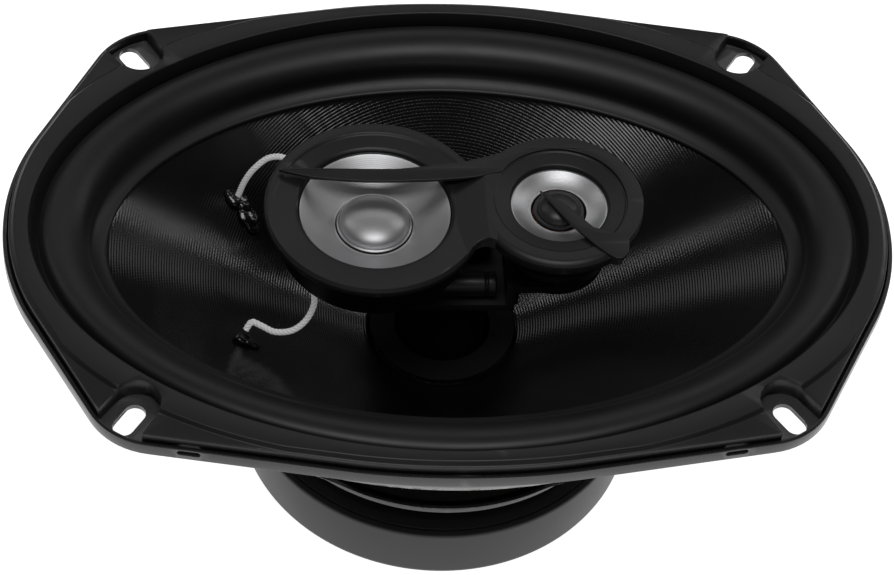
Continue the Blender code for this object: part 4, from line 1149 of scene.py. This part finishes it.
def build_stage():
    reach, drop = 6.0, 0.0006
    mesh = bpy.data.meshes.new("studio_floor")
    corners = box_outline(-reach, reach, -reach, reach)
    mesh.from_pydata([(x, y, -drop) for x, y in corners], [], [(0, 1, 2, 3)])
    made = bpy.data.materials.new("pale_floor")
    made.use_nodes = True
    tree = made.node_tree
    shader = tree.nodes["Principled BSDF"]
    shader.inputs["Base Color"].default_value = (0.9, 0.9, 0.9, 1.0)
    shader.inputs["Roughness"].default_value = 0.9
    shader.inputs["Specular IOR Level"].default_value = 0.1
    shader.inputs["Emission Color"].default_value = (1.0, 1.0, 1.0, 1.0)
    shader.inputs["Emission Strength"].default_value = 1.0
    mesh.materials.append(made)
    floor = bpy.data.objects.new("studio_floor", mesh)
    bpy.context.scene.collection.objects.link(floor)


def add_softbox(name, azimuth, elevation, distance, width, height, power):
    """A soft light aimed at the flange, at an azimuth from +Y towards +X, in degrees."""
    az, el = math.radians(azimuth), math.radians(elevation)
    aim = Vector((math.sin(az) * math.cos(el), math.cos(az) * math.cos(el), math.sin(el)))
    light = bpy.data.lights.new(name, "AREA")
    light.shape = "RECTANGLE"
    light.size = width
    light.size_y = height
    light.energy = power
    made = bpy.data.objects.new(name, light)
    target = Vector((0.0, 0.0, LIFT * MM))
    made.location = target + aim * distance
    made.rotation_euler = aim.to_track_quat("Z", "Y").to_euler()
    bpy.context.scene.collection.objects.link(made)


def build_lights():
    add_softbox("key_overhead", 180, 76, 1.3, 0.7, 0.4, 4.2)
    add_softbox("back_fill", 5, 44, 1.5, 1.6, 0.4, 1.8)
    add_softbox("strip_right", 57, 35, 1.25, 0.055, 0.85, 0.9)
    add_softbox("strip_left", -57, 42, 1.25, 0.05, 0.6, 0.6)
    add_softbox("front_low", 180, 22, 1.5, 0.9, 0.25, 0.6)
    world = bpy.data.worlds.new("studio")
    world.use_nodes = True
    world.node_tree.nodes["Background"].inputs[0].default_value = (1.0, 1.0, 1.0, 1.0)
    world.node_tree.nodes["Background"].inputs[1].default_value = 0.05
    bpy.context.scene.world = world
    bpy.context.scene.view_settings.view_transform = "Standard"


def build_camera():
    data = bpy.data.cameras.new("camera")
    data.lens = 136.15
    data.sensor_width = 36.0
    data.clip_start = 0.05
    data.clip_end = 20.0
    camera = bpy.data.objects.new("camera", data)
    right = Vector((0.99705, -0.04747, 0.06029)).normalized()
    ahead = Vector((0.07672, 0.63095, -0.77200)).normalized()
    up = right.cross(ahead).normalized()
    turn = Matrix((right, up, -ahead)).transposed()
    camera.matrix_world = Matrix.Translation((-0.0700, -0.5796, 0.7664)) @ turn.to_4x4()
    bpy.context.scene.collection.objects.link(camera)
    bpy.context.scene.camera = camera


def build_speaker():
    build_basket()
    build_gasket()
    build_surround()
    build_cone()
    build_spider()
    build_centre()
    build_boot()
    build_frame_rivets()
    build_bracket()
    build_bezel()
    build_trim()
    build_mid()
    build_tweeter()
    build_capacitors()
    build_terminals()
    build_leads()
    build_dabs()
    dress_cad_nodes()


build_speaker()
build_stage()
build_lights()
build_camera()
